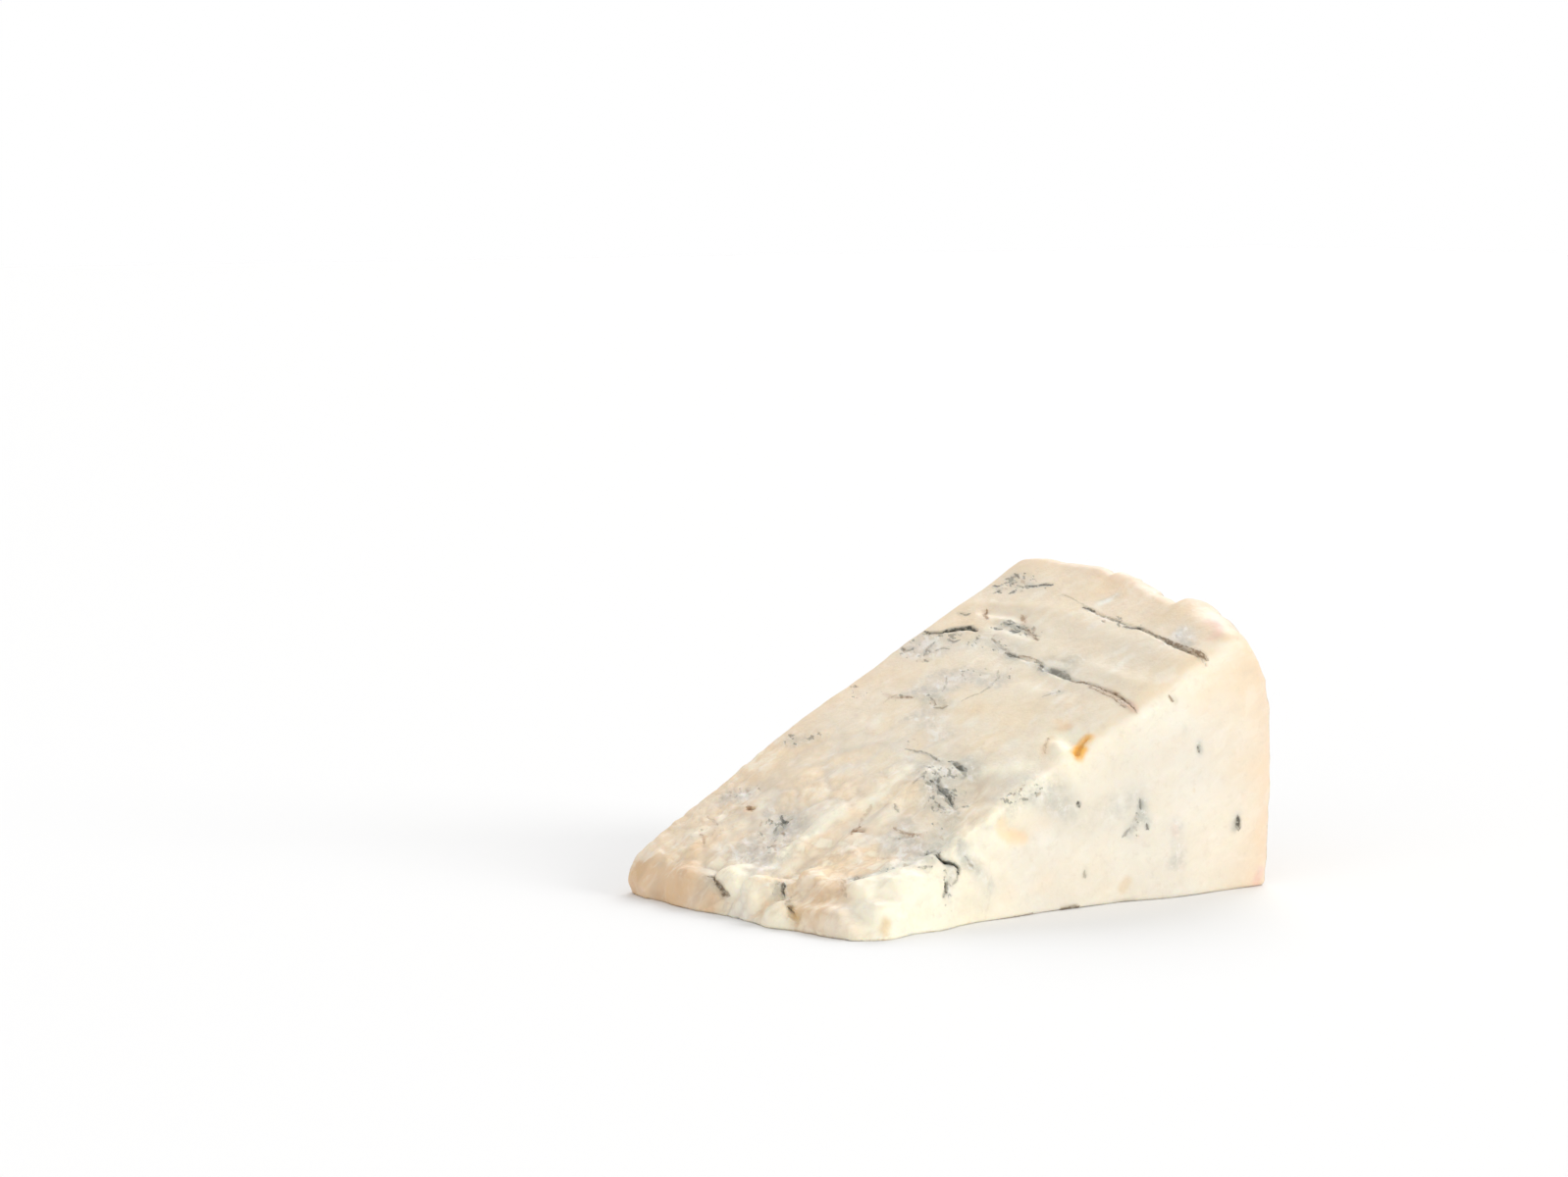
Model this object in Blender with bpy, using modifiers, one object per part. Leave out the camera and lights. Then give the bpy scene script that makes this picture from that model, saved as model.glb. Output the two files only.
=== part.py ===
"""A retail wedge of blue-veined soft cheese, lying on one of its two radial cut faces.

Frame: metres, +Z up. +X runs along the wheel's radius, from the blunt nose to the rind, and +Y along the
wheel's axis, from the cut made at half the wheel's height to the rind of the wheel's flat face. The origin
is the centre of the base, on the surface that the wedge rests on.

The wedge is one solid. Its form is a set of six bounding surfaces, rounded into each other:
    base    the lower radial cut, flat where the cheese rests on it
    slope   the upper radial cut, which climbs from the nose to the rind
    front   the cut across the wheel's axis
    back    the flat rind of the wheel
    nose    the blunt end, near the wheel's centre
    rind    the curved side of the wheel
A grid box is drawn onto those surfaces, and a Subdivision Surface makes the soft form from it.
"""

import math

import bmesh
import bpy
from mathutils import Matrix, Vector, noise

MM = 0.001

# ---- driving sizes, in metres ----------------------------------------------------------------------------
THICKNESS = 88.5 * MM          # along the wheel's axis: half of a wheel 177 mm high
WHEEL_RADIUS = 150.0 * MM      # of the rind's curve
BULGE_HEIGHT = 24.0 * MM       # height of the rind's furthest point at the front
BULGE_RISE = 11.0 * MM         # and how much higher it is at the back
SLOPE_RISE = 0.5318            # the upper cut's climb along X, 28 degrees
SLOPE_ROLL = 0.0773            # and along Y, because the knife was not held level
SLOPE_SWELL = 2.4 * MM         # how far the soft upper cut bulges at mid length, at the back
NOSE_LEAST = 3.6 * MM          # height of the blunt nose where the two cuts would meet
EDGE_FRONT = 2.2 * MM          # rounding radii
EDGE_BACK = 3.0 * MM
EDGE_NOSE = 2.4 * MM
EDGE_BASE = 1.2 * MM
CREST_FRONT = 12.0 * MM        # rounding of the top of the rind, at the front
CREST_BACK = 5.0 * MM          # and at the back
CENTRE = (67.98 * MM, 45.0 * MM)  # the middle of the base, from the corner where nose, front and base meet

# How far the rind stands out from the nose at its furthest, by Y: a soft wheel sags into a bulge.
RIND_OUT = ((0, 132.4), (10, 132.8), (24, 133.2), (38, 134.6), (52, 136.6), (70, 136.8), (88, 135.4))
# How far the top edge of the rind is worn back, by Y: it broke in steps.
CREST_WORN = ((0, 2.4), (6, 0.8), (13, -0.8), (19, -1.6), (23, -0.6), (28, 3.4), (33, 1.6), (37, -0.2),
              (43, -0.2), (48, -1.5), (54, -0.4), (60, -1.0), (66, -0.6), (76, 0.2), (88, 1.0))
# How far the front cut stands in from its plane: along its foot, and along its top edge, by X.
FOOT_IN = ((0, 2.4), (9, -1.2), (24, 0.7), (42, 4.2), (84, 4.4), (100, 0.9), (118, 0.9), (128, 1.0), (134, 3.0))
TOP_IN = ((0, 5.0), (15, 8.0), (38, 7.2), (60, 5.4), (78, 3.0), (90, 1.2), (134, 0.6))
# How far the nose stands out at its foot, by Y.
NOSE_OUT = ((0, -0.6), (14, -0.2), (28, 2.0), (46, 1.0), (60, 2.2), (78, 2.0), (88, 0.6))
# How much thicker the wedge is towards the nose, by X: the rind of the flat face is not quite flat.
BACK_OUT = ((0, 1.0), (16, 1.4), (50, 0.8), (84, 0.2), (110, 0.4), (134, 0.0))
# Lumps of curd at the crumbly end: centre in X, Y and Z, radius, and how much they stand proud.
CURDS = (
    (13.0, 5.5, 5.0, 7.0), (27.0, 4.6, 9.0, 8.0), (6.0, 19.0, 2.2, 6.0), (9.0, 33.0, 5.2, 6.5),
    (3.5, 27.0, 1.5, 5.0), (20.0, 14.5, 10.2, 6.0), (40.0, 6.5, 12.0, 7.0), (54.0, 8.0, 19.5, 8.0),
    (30.0, 26.0, 16.5, 7.0), (48.0, 18.0, 25.5, 8.0), (70.0, 5.5, 33.5, 7.0), (24.0, 41.0, 14.8, 7.0),
)
CURD_PROUD = 1.3 * MM          # how far a lump stands out of the cut
RELIEF = 0.55 * MM             # the unevenness of a soft cheese that was cut with a knife
RELIEF_SIZE = 17.0 * MM
# Hollows left by gas and by the piercing needles: centre in X, Y and Z, half sizes along X, Y and Z, turn about Y.
POCKETS = (
    ("amber_pocket", (80.6, 2.8, 36.2), (2.9, 2.6, 2.0), 24.0),
    ("peach_pocket", (53.5, 4.6, 16.4), (3.4, 1.8, 1.6), 10.0),
    ("upper_slit", (97.3, 79.6, 59.2), (1.2, 5.4, 2.2), 0.0),
    ("middle_crevice", (36.3, 7.0, 17.6), (3.0, 3.4, 1.3), -24.0),
)
POCKET_RINGS, POCKET_SIDES = 8, 12

# ---- the grid box ----------------------------------------------------------------------------------------
ALONG, ACROSS, UP = 21, 14, 8  # cells of the box along X, Y and Z, before subdivision
LEAST_RISE = 0.4 * MM         # the cage's sides start this far above the base
HELD_EDGE = 0.030              # the share of a side that each end cell takes, which keeps the corners firm


def spaced(cells):
    """The places of the grid's lines from 0 to 1: narrow cells at both ends, even ones between."""
    inner = [HELD_EDGE + (1 - 2 * HELD_EDGE) * i / (cells - 2) for i in range(cells - 1)]
    return [0.0, *inner, 1.0]


def along(table, at):
    """A smooth curve through a table of (place, value), both in millimetres. Returns metres."""
    at = at / MM
    if at <= table[0][0]:
        return table[0][1] * MM
    for (a, first), (b, second) in zip(table, table[1:]):
        if at <= b:
            t = (at - a) / (b - a)
            t = t * t * (3 - 2 * t)
            return (first + (second - first) * t) * MM
    return table[-1][1] * MM


def rounded(a, b, radius):
    """The intersection of two half-spaces, given by their distances, with a rounded edge."""
    return min(max(a, b), -radius) + math.hypot(max(a + radius, 0.0), max(b + radius, 0.0))


def joined(a, b, soft):
    """The union of two solids, given by their distances, with a soft fillet."""
    h = max(soft - abs(a - b), 0.0) / soft
    return min(a, b) - h * h * soft * 0.25


def hill(at, middle, half):
    t = (at - middle) / half
    return math.exp(-t * t)


def slope_height(x, y):
    """Height of the upper cut."""
    back = min(max(y / THICKNESS, 0.0), 1.0)
    swell = SLOPE_SWELL * back * hill(x, 58 * MM, 46 * MM)
    flat = SLOPE_RISE * x + SLOPE_ROLL * y + swell
    gap = flat - NOSE_LEAST
    return NOSE_LEAST + 0.5 * (gap + math.hypot(gap, 2.5 * MM))


def crest_radius(y):
    t = min(max(y / (46 * MM), 0.0), 1.0)
    return CREST_FRONT + (CREST_BACK - CREST_FRONT) * t * t * (3 - 2 * t)


def cheese(p):
    """Signed distance, nearly, from the wedge's surface in design coordinates: negative inside."""
    x, y, z = p
    back = min(max(y / THICKNESS, 0.0), 1.0)
    top = slope_height(x, y)
    steep = 1.0 / math.sqrt(1 + SLOPE_RISE**2 + SLOPE_ROLL**2)
    slope = (z - top) * steep
    centre_x = along(RIND_OUT, y) - WHEEL_RADIUS
    centre_z = BULGE_HEIGHT + BULGE_RISE * back
    rind = math.hypot(x - centre_x, z - centre_z) - WHEEL_RADIUS
    crest = rounded(slope, rind, crest_radius(y))
    crest += along(CREST_WORN, y) * hill(x, 128 * MM, 9 * MM) * min(max((z - 50 * MM) / (10 * MM), 0.0), 1.0)
    height = min(max(z / max(top, 4 * MM), 0.0), 1.0)
    front = along(FOOT_IN, x) * (1 - height) + along(TOP_IN, x) * height - y
    nose = -along(NOSE_OUT, y) * (1 - height) + 1.0 * MM * height - x
    d = rounded(crest, front, EDGE_FRONT)
    d = rounded(d, y - THICKNESS - along(BACK_OUT, x), EDGE_BACK)
    d = rounded(d, nose, EDGE_NOSE)
    for cx, cy, cz, radius in CURDS:
        ball = (Vector(p) - Vector((cx, cy, cz)) * MM).length - (radius * MM * 0.55 + CURD_PROUD)
        d = joined(d, ball, 3.2 * MM)
    d += RELIEF * noise.noise(Vector(p) / RELIEF_SIZE) + 0.4 * RELIEF * noise.noise(Vector(p) / (0.4 * RELIEF_SIZE))
    return rounded(d, -z, EDGE_BASE)


def onto_surface(p, on_base):
    """Moves a point to the wedge's surface. A point of the base keeps its height."""
    p = p.copy()
    step = 0.05 * MM
    for _ in range(14):
        d = cheese(p)
        g = Vector([(cheese(p + a) - cheese(p - a)) / (2 * step) for a in
                    (Vector((step, 0, 0)), Vector((0, step, 0)), Vector((0, 0, step)))])
        if on_base:
            g.z = 0.0
        if g.length < 1e-6 or abs(d) < 0.002 * MM:
            break
        p -= 0.85 * d * g / max(g.length_squared, 0.25)
        if on_base:
            p.z = 0.0
    return p


def grid_point(u, v, w):
    """The unit box drawn onto the wedge's six bounding surfaces, before they are rounded."""
    y = v * THICKNESS
    reach = along(RIND_OUT, y)
    z = w * slope_height(u * reach, y)
    x = u * (reach - (z - BULGE_HEIGHT - BULGE_RISE * v) ** 2 / (2 * WHEEL_RADIUS))
    front = along(FOOT_IN, x) * (1 - w) + along(TOP_IN, x) * w
    y = front + v * (THICKNESS + along(BACK_OUT, x) - front)
    return Vector((x, y, w * slope_height(x, y)))


def smoothed(vert):
    """Where one Catmull-Clark step moves a corner of the cage."""
    n = len(vert.link_edges)
    faces = sum((f.calc_center_median() for f in vert.link_faces), Vector()) / n
    edges = sum(((e.verts[0].co + e.verts[1].co) / 2 for e in vert.link_edges), Vector()) / n
    return (faces + 2 * edges + (n - 3) * vert.co) / n


def make_wedge():
    bm = bmesh.new()
    bmesh.ops.create_cube(bm, size=2.0)
    # The cube's faces are cut into the grid one direction at a time, with the grid's lines as cutting planes.
    for axis, cells in enumerate((ALONG, ACROSS, UP)):
        normal = [0.0, 0.0, 0.0]
        normal[axis] = 1.0
        for share in spaced(cells)[1:-1]:
            at = [0.0, 0.0, 0.0]
            at[axis] = 2 * share - 1
            bmesh.ops.bisect_plane(bm, geom=bm.verts[:] + bm.edges[:] + bm.faces[:], dist=1e-6,
                                   plane_co=at, plane_no=normal)
    based = []
    for vert in bm.verts:
        u, v, w = ((c + 1) / 2 for c in vert.co)
        on_base = w < 1e-6
        inside = on_base and min(u, 1 - u, v, 1 - v) > 1e-6
        start = grid_point(u, v, w)
        vert.co = start if inside else onto_surface(start, on_base)
        based.append(on_base)
    # The cage is let out until its smooth form, not the cage itself, lies on the wedge's surface.
    wanted = [vert.co.copy() for vert in bm.verts]
    for _ in range(4):
        moves = [w - smoothed(vert) for w, vert in zip(wanted, bm.verts)]
        for vert, move, on_base in zip(bm.verts, moves, based):
            vert.co += Vector((move.x, move.y, 0.0)) if on_base else move
            vert.co.z = 0.0 if on_base else max(vert.co.z, LEAST_RISE)
    bm.normal_update()
    mesh = bpy.data.meshes.new("cheese_wedge")
    bm.to_mesh(mesh)
    bm.free()
    mesh.shade_smooth()
    wedge = bpy.data.objects.new("cheese_wedge", mesh)
    soft = wedge.modifiers.new("soft_form", "SUBSURF")
    soft.levels = soft.render_levels = 1
    wedge.location = (-CENTRE[0], -CENTRE[1], 0.0)
    return wedge


def make_pocket(name, centre, half, turn):
    """The hollow's form, an ellipsoid, which is taken out of the wedge."""
    bm = bmesh.new()
    size = Matrix.Diagonal((*(h * MM for h in half), 1.0))
    place = Matrix.Translation([c * MM - o for c, o in zip(centre, (*CENTRE, 0.0))])
    bmesh.ops.create_uvsphere(bm, u_segments=POCKET_SIDES, v_segments=POCKET_RINGS, radius=1.0,
                              matrix=place @ Matrix.Rotation(math.radians(-turn), 4, "Y") @ size)
    mesh = bpy.data.meshes.new(name)
    bm.to_mesh(mesh)
    bm.free()
    mesh.shade_smooth()
    pocket = bpy.data.objects.new(name, mesh)
    pocket.hide_render = True
    pocket.display_type = "WIRE"
    return pocket


def material(name, colour, roughness):
    made = bpy.data.materials.new(name)
    made.use_nodes = True
    shader = made.node_tree.nodes["Principled BSDF"]
    shader.inputs["Base Color"].default_value = (*colour, 1.0)
    shader.inputs["Roughness"].default_value = roughness
    shader.inputs["Metallic"].default_value = 0.0
    return made


def main():
    for old in list(bpy.data.objects):
        bpy.data.objects.remove(old)
    shown = bpy.data.collections.new("cheese_wedge")
    bpy.context.scene.collection.children.link(shown)
    wedge = make_wedge()
    wedge.data.materials.append(material("cream_paste", (0.86, 0.77, 0.62), 0.5))
    shown.objects.link(wedge)
    hidden = bpy.data.collections.new("hollow_forms")
    bpy.context.scene.collection.children.link(hidden)
    for form in POCKETS:
        pocket = make_pocket(*form)
        hidden.objects.link(pocket)
        cut = wedge.modifiers.new(form[0], "BOOLEAN")
        cut.operation, cut.solver, cut.object = "DIFFERENCE", "EXACT", pocket


main()
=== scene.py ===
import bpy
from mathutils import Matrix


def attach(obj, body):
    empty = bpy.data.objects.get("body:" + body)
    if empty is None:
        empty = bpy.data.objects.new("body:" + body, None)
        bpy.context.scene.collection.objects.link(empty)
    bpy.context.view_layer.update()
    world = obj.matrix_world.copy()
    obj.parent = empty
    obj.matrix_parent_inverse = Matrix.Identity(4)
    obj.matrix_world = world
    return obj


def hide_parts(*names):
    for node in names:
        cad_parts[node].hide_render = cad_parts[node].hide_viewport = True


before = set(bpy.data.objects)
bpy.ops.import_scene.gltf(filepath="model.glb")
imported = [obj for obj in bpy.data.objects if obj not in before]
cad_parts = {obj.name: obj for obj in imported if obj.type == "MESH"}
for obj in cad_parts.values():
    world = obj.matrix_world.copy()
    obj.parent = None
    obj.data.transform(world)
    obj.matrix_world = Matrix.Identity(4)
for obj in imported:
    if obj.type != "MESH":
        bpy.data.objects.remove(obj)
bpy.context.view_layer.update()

import math

import bmesh
import bpy
import numpy as np
import openvdb
from mathutils import Matrix, Vector

# The wedge is worked out in millimetres in its design frame: the origin is the corner where nose, front and base
# meet, +X runs from the nose to the curved rind, +Y from the half-height cut to the flat rind, +Z up.
CENTRE = np.array([67.98, 45.0, 0.0])          # the row's origin in the design frame
STEP = 0.5                                     # of the volume that the surface is taken from
LOW, HIGH = np.array([-5.0, -5.0, -2.0]), np.array([142.0, 97.0, 79.0])
MOST_TRIANGLES = 192000
SKY_LIGHT, KEY_LIGHT, BACK_LIGHT, FILL_LIGHT = 0.68, 1.23, 1.25, 0.56

THICKNESS, WHEEL_RADIUS = 88.5, 150.0
BULGE_HEIGHT, BULGE_RISE = 24.0, 11.0
SLOPE_RISE, SLOPE_ROLL, SLOPE_SWELL = 0.5318, 0.0773, 2.4
NOSE_LEAST = 3.6
EDGE_FRONT, EDGE_BACK, EDGE_NOSE, EDGE_BASE = 1.5, 3.0, 2.0, 0.8
CREST_FRONT, CREST_BACK = 12.0, 5.0
CREST_RISE = ((0, -2.4), (5, -0.4), (12, 0.8), (18, 1.3), (24, 1.8), (27, 0.2), (32, 0.0), (44, 0.0), (50, -0.4), (56, 0.6), (62, 0.5), (66, 0.2), (72, 0.0), (80, 0.6), (88, 0.0))
RIND_OUT = ((0, 131.8), (10, 132.6), (24, 133.2), (38, 134.6), (52, 136.6), (70, 136.8), (88, 135.4))
CREST_WORN = ((0, 2.4), (6, 0.8), (13, -0.8), (21, -1.8), (24.5, -1.0), (26, 3.0), (28.5, 2.8), (31, 0.8), (37, 0.6),
              (38.5, -0.6), (46.5, -0.9), (48, -1.6), (53.5, -1.4), (54.5, 0.2), (60, -0.8), (66, -0.6), (76, 0.2), (88, 1.0))
FOOT_IN = ((0, 2.4), (9, -1.2), (24, 0.7), (42, 4.2), (84, 4.4), (100, 0.9), (118, 0.9), (128, 1.0), (134, 3.0))
TOP_IN = ((0, 5.0), (15, 8.0), (38, 7.2), (60, 5.4), (78, 3.0), (90, 1.2), (134, 0.6))
NOSE_OUT = ((0, -0.6), (14, -0.2), (28, 2.0), (46, 1.0), (60, 2.2), (78, 2.0), (88, 0.6))
BACK_OUT = ((0, 1.0), (16, 1.4), (50, 0.8), (84, 0.2), (110, 0.4), (134, 0.0))


# ---- smooth random fields --------------------------------------------------------------------------------
def spline_weights(t):
    return np.stack([(1 - t) ** 3, 3 * t**3 - 6 * t**2 + 4, -3 * t**3 + 3 * t**2 + 3 * t + 1, t**3]) / 6.0


class Field:
    """A smooth random field between about -1 and 1: a cubic spline over a seeded lattice of the given cell size."""

    def __init__(self, size, seed):
        self.size = np.broadcast_to(np.asarray(size, float), (3,))
        self.low = LOW - 12.0
        self.count = np.ceil((HIGH - LOW + 24.0) / self.size).astype(int) + 4
        self.values = np.random.default_rng(seed).uniform(-2.4, 2.4, self.count)

    def __call__(self, p):
        q = (p - self.low) / self.size
        base = np.floor(q).astype(int)
        base = np.clip(base, 0, self.count - 4)
        w = [spline_weights(q[:, a] - base[:, a]) for a in range(3)]
        out = np.zeros(len(p))
        for i in range(4):
            for j in range(4):
                ij = w[0][i] * w[1][j]
                for k in range(4):
                    out += ij * w[2][k] * self.values[base[:, 0] + i, base[:, 1] + j, base[:, 2] + k]
        return out

    def dense(self, axes):
        out = self.values
        for a, at in enumerate(axes):
            q = (at - self.low[a]) / self.size[a]
            base = np.clip(np.floor(q).astype(int), 0, self.count[a] - 4)
            w = spline_weights(q - base)
            full = np.zeros((len(at), self.count[a]))
            for i in range(4):
                full[np.arange(len(at)), base + i] += w[i]
            out = np.moveaxis(np.tensordot(full, out, axes=(1, a)), 0, a)
        return out.astype(np.float32)


def cells(p, size, seed):
    """Distance to the nearest and second nearest of a jittered set of points, over the cell size, and the nearest's number."""
    rng = np.random.default_rng(seed)
    count = np.ceil((HIGH - LOW + 24.0) / size).astype(int) + 3
    spots = rng.uniform(0.12, 0.88, (*count, 3))
    kind = rng.uniform(0, 1, count)
    q = (p - (LOW - 12.0)) / size
    base = np.floor(q).astype(int)
    first = np.full(len(p), 9.0)
    second = np.full(len(p), 9.0)
    number = np.zeros(len(p))
    for i in (-1, 0, 1):
        for j in (-1, 0, 1):
            for k in (-1, 0, 1):
                c = np.clip(base + (i, j, k), 0, count - 1)
                at = c + spots[c[:, 0], c[:, 1], c[:, 2]]
                d = np.sqrt(((q - at) ** 2).sum(1))
                nearer = d < first
                second = np.where(nearer, first, np.minimum(second, d))
                number = np.where(nearer, kind[c[:, 0], c[:, 1], c[:, 2]], number)
                first = np.where(nearer, d, first)
    return first, second, number


def curd_cells(p):
    """The curds that the paste breaks into, drawn out a little along the slope."""
    warped = p + 1.9 * np.stack([Field(6.5, s)(p) for s in (21, 22, 23)], -1)
    return cells(warped * (0.72, 1.0, 1.0), 8.2, 5)


def small_crumbs(p):
    """Each point's distance to the middle and the edge of its small lump, how crumbly the paste is, and the lump's number."""
    first, second, number = cells(p + 0.9 * np.stack([Field(2.2, s)(p) for s in (31, 32, 33)], -1), 3.1, 6)
    return first, second - first, ease((58.0 - p[:, 0]) / 40.0) * (0.45 + 0.55 * ease(Field(6.0, 42)(p) + 0.6)), number


# ---- the wedge's form ------------------------------------------------------------------------------------
def ease(t):
    t = np.clip(t, 0.0, 1.0)
    return t * t * (3 - 2 * t)


def along(table, at):
    """A smooth curve through a table of (place, value)."""
    places = np.array([row[0] for row in table], float)
    values = np.array([row[1] for row in table], float)
    i = np.clip(np.searchsorted(places, at, side="right") - 1, 0, len(places) - 2)
    t = ease((at - places[i]) / (places[i + 1] - places[i]))
    return values[i] + (values[i + 1] - values[i]) * t


def rounded(a, b, radius):
    """The intersection of two solids, given by their distances, with a rounded edge."""
    return np.minimum(np.maximum(a, b), -radius) + np.hypot(np.maximum(a + radius, 0), np.maximum(b + radius, 0))


def joined(a, b, soft):
    h = np.maximum(soft - np.abs(a - b), 0) / soft
    return np.minimum(a, b) - h * h * soft * 0.25


def hill(at, middle, half):
    return np.exp(-(((at - middle) / half) ** 2))


def slope_height(x, y):
    back = np.clip(y / THICKNESS, 0, 1)
    flat = SLOPE_RISE * x + SLOPE_ROLL * y + SLOPE_SWELL * back * hill(x, 58.0, 46.0)
    gap = flat - NOSE_LEAST
    return NOSE_LEAST + 0.5 * (gap + np.hypot(gap, 2.5))


def walls(x, y, z):
    """Distances to the bounding surfaces: slope, curved rind, front cut, flat rind, nose."""
    back = np.clip(y / THICKNESS, 0, 1)
    top = slope_height(x, y)
    slope = (z - top) / math.sqrt(1 + SLOPE_RISE**2 + SLOPE_ROLL**2)
    centre_x = along(RIND_OUT, y) - WHEEL_RADIUS
    centre_z = BULGE_HEIGHT + BULGE_RISE * back
    rind = np.hypot(x - centre_x, z - centre_z) - WHEEL_RADIUS
    height = np.clip(z / np.maximum(top, 4.0), 0, 1)
    front = along(FOOT_IN, x) * (1 - height) + along(TOP_IN, x) * height - y
    flat = y - THICKNESS - along(BACK_OUT, x)
    nose = -along(NOSE_OUT, y) * (1 - height) + 1.0 * height - x
    return slope, rind, front, flat, nose


def wedge(x, y, z):
    slope, rind, front, flat, nose = walls(x, y, z)
    radius = CREST_FRONT + (CREST_BACK - CREST_FRONT) * ease(y / 46.0)
    d = rounded(slope, rind, radius)
    d = d + along(CREST_WORN, y) * hill(x, 131.5, 5.0) * np.clip((z - 50.0) / 10.0, 0, 1)
    d = d - along(CREST_RISE, y) * hill(x, 126.5, 8.0) * np.clip((z - 50.0) / 8.0, 0, 1)
    d = rounded(d, front, EDGE_FRONT + 3.0 * ease((x - 54.0) / 24.0) * (1 - ease((x - 112.0) / 12.0)))
    d = rounded(d, flat, EDGE_BACK)
    return rounded(d, nose, EDGE_NOSE + 2.8 * ease((y - 66.0) / 16.0))


SLOPE_NORMAL = np.array([-SLOPE_RISE, -SLOPE_ROLL, 1.0]) / math.sqrt(1 + SLOPE_RISE**2 + SLOPE_ROLL**2)
FRONT_NORMAL = np.array([-0.10, -0.98, 0.17])
NOSE_NORMAL = np.array([-0.80, -0.10, 0.59])


# ---- features of the paste -------------------------------------------------------------------------------
def on_slope(*places):
    """Points of the upper cut, from their X and Y."""
    return [(x, y, float(slope_height(np.float64(x), np.float64(y)))) for x, y in places]


UPPER_CRACK = on_slope((114.6, 50.3), (112.9, 42.3), (112.1, 35.4), (111.4, 26.0), (110.0, 19.2), (108.7, 10.8), (108.2, 5.2), (108.2, 1.6))
LOWER_CRACK = on_slope((93.0, 53.6), (92.7, 47.8), (92.6, 43.0), (91.3, 36.8), (90.4, 30.5), (90.2, 25.3), (90.4, 19.2), (89.6, 12.5), (88.2, 5.8), (87.6, 2.6))
SLIT = on_slope((91.8, 85.6), (93.8, 80.9), (96.3, 78.2), (97.9, 74.6), (97.6, 70.4))
CREVICE = [(31.8, 11.0, 16.4), (30.3, 7.8, 16.0), (31.5, 7.2, 14.6), (33.1, 6.9, 14.1), (34.2, 6.3, 13.7), (34.7, 5.7, 13.2), (33.6, 4.3, 11.9)]
CREVICE_FOOT = [(30.2, 4.3, 10.7), (29.8, 4.1, 9.5), (28.9, 3.8, 8.1), (27.8, 2.2, 7.4)]
AMBER_HOLE = [(75.4, 6.2, 39.6), (74.3, 6.5, 38.4), (73.0, 6.1, 37.2), (71.6, 5.5, 35.8)]
PEACH_HOLLOW = [(48.9, 5.6, 21.7), (50.3, 5.4, 19.9), (54.3, 4.9, 18.9)]
NOSE_CREVICE = [(3.7, 59.4, 7.6), (3.9, 57.4, 7.5), (2.4, 54.4, 6.6), (1.3, 51.5, 6.1), (1.1, 49.9, 5.1), (1.2, 48.2, 4.7)]
NOSE_SPLIT = [(6.2, 35.4, 9.0), (4.6, 33.6, 6.8), (2.6, 31.6, 3.6)]
GOLD_PIT = [(2.4, 26.8, 4.2), (2.1, 24.7, 2.8), (0.6, 21.6, 2.4)]

# Cut into the paste: points, half widths along them, depth.
GROOVES = (
    (UPPER_CRACK, (0.16, 0.24, 0.14, 0.34, 0.22, 0.42, 0.50, 0.30), 0.8),
    (LOWER_CRACK, (0.2, 0.3, 0.2, 0.5, 0.4, 0.22, 0.22, 0.34, 0.36, 0.2), 0.7),
    (SLIT, (0.15, 0.4, 0.6, 0.55, 0.15), 1.6),
    (CREVICE, (0.12, 0.25, 0.32, 0.32, 0.32, 0.30, 0.15), 3.0),
    (CREVICE_FOOT, (0.1, 0.25, 0.25, 0.1), 1.6),
    (AMBER_HOLE, (0.45, 0.3, 0.7, 0.6), 1.2),
    (NOSE_CREVICE, (0.15, 0.25, 0.25, 0.35, 0.35, 0.15), 1.3),
    (NOSE_SPLIT, (0.2, 0.35, 0.2), 2.0),
    (GOLD_PIT, (0.4, 0.9, 0.9), 1.2),
    (on_slope((28.6, 35.4), (29.4, 33.2)), (0.6, 0.4), 1.0),
    (on_slope((30.8, 23.4), (32.2, 20.6), (33.4, 17.6)), (0.2, 0.4, 0.2), 1.0),
    (on_slope((25.4, 71.8), (25.9, 70.8)), (0.5, 0.4), 1.0),
    (on_slope((26.9, 57.6), (24.6, 57.6), (22.0, 56.4)), (0.3, 0.6, 0.3), 1.0),
    (on_slope((55.6, 31.0), (54.6, 27.2), (53.4, 24.6)), (0.3, 0.5, 0.3), 0.7),
    (on_slope((49.6, 30.6), (47.6, 27.0), (46.2, 22.8), (44.2, 18.2)), (0.3, 0.4, 0.45, 0.3), 0.7),
    ([(119.0, 0.6, 15.8), (119.4, 0.6, 17.2)], (0.8, 0.6), 0.6),
    ([(106.6, 0.6, 35.6), (106.6, 0.6, 36.0)], (0.45, 0.45), 0.5),
    ([(70.7, 4.0, 24.9), (71.0, 4.0, 25.0)], (0.5, 0.5), 0.6),
)
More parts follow.
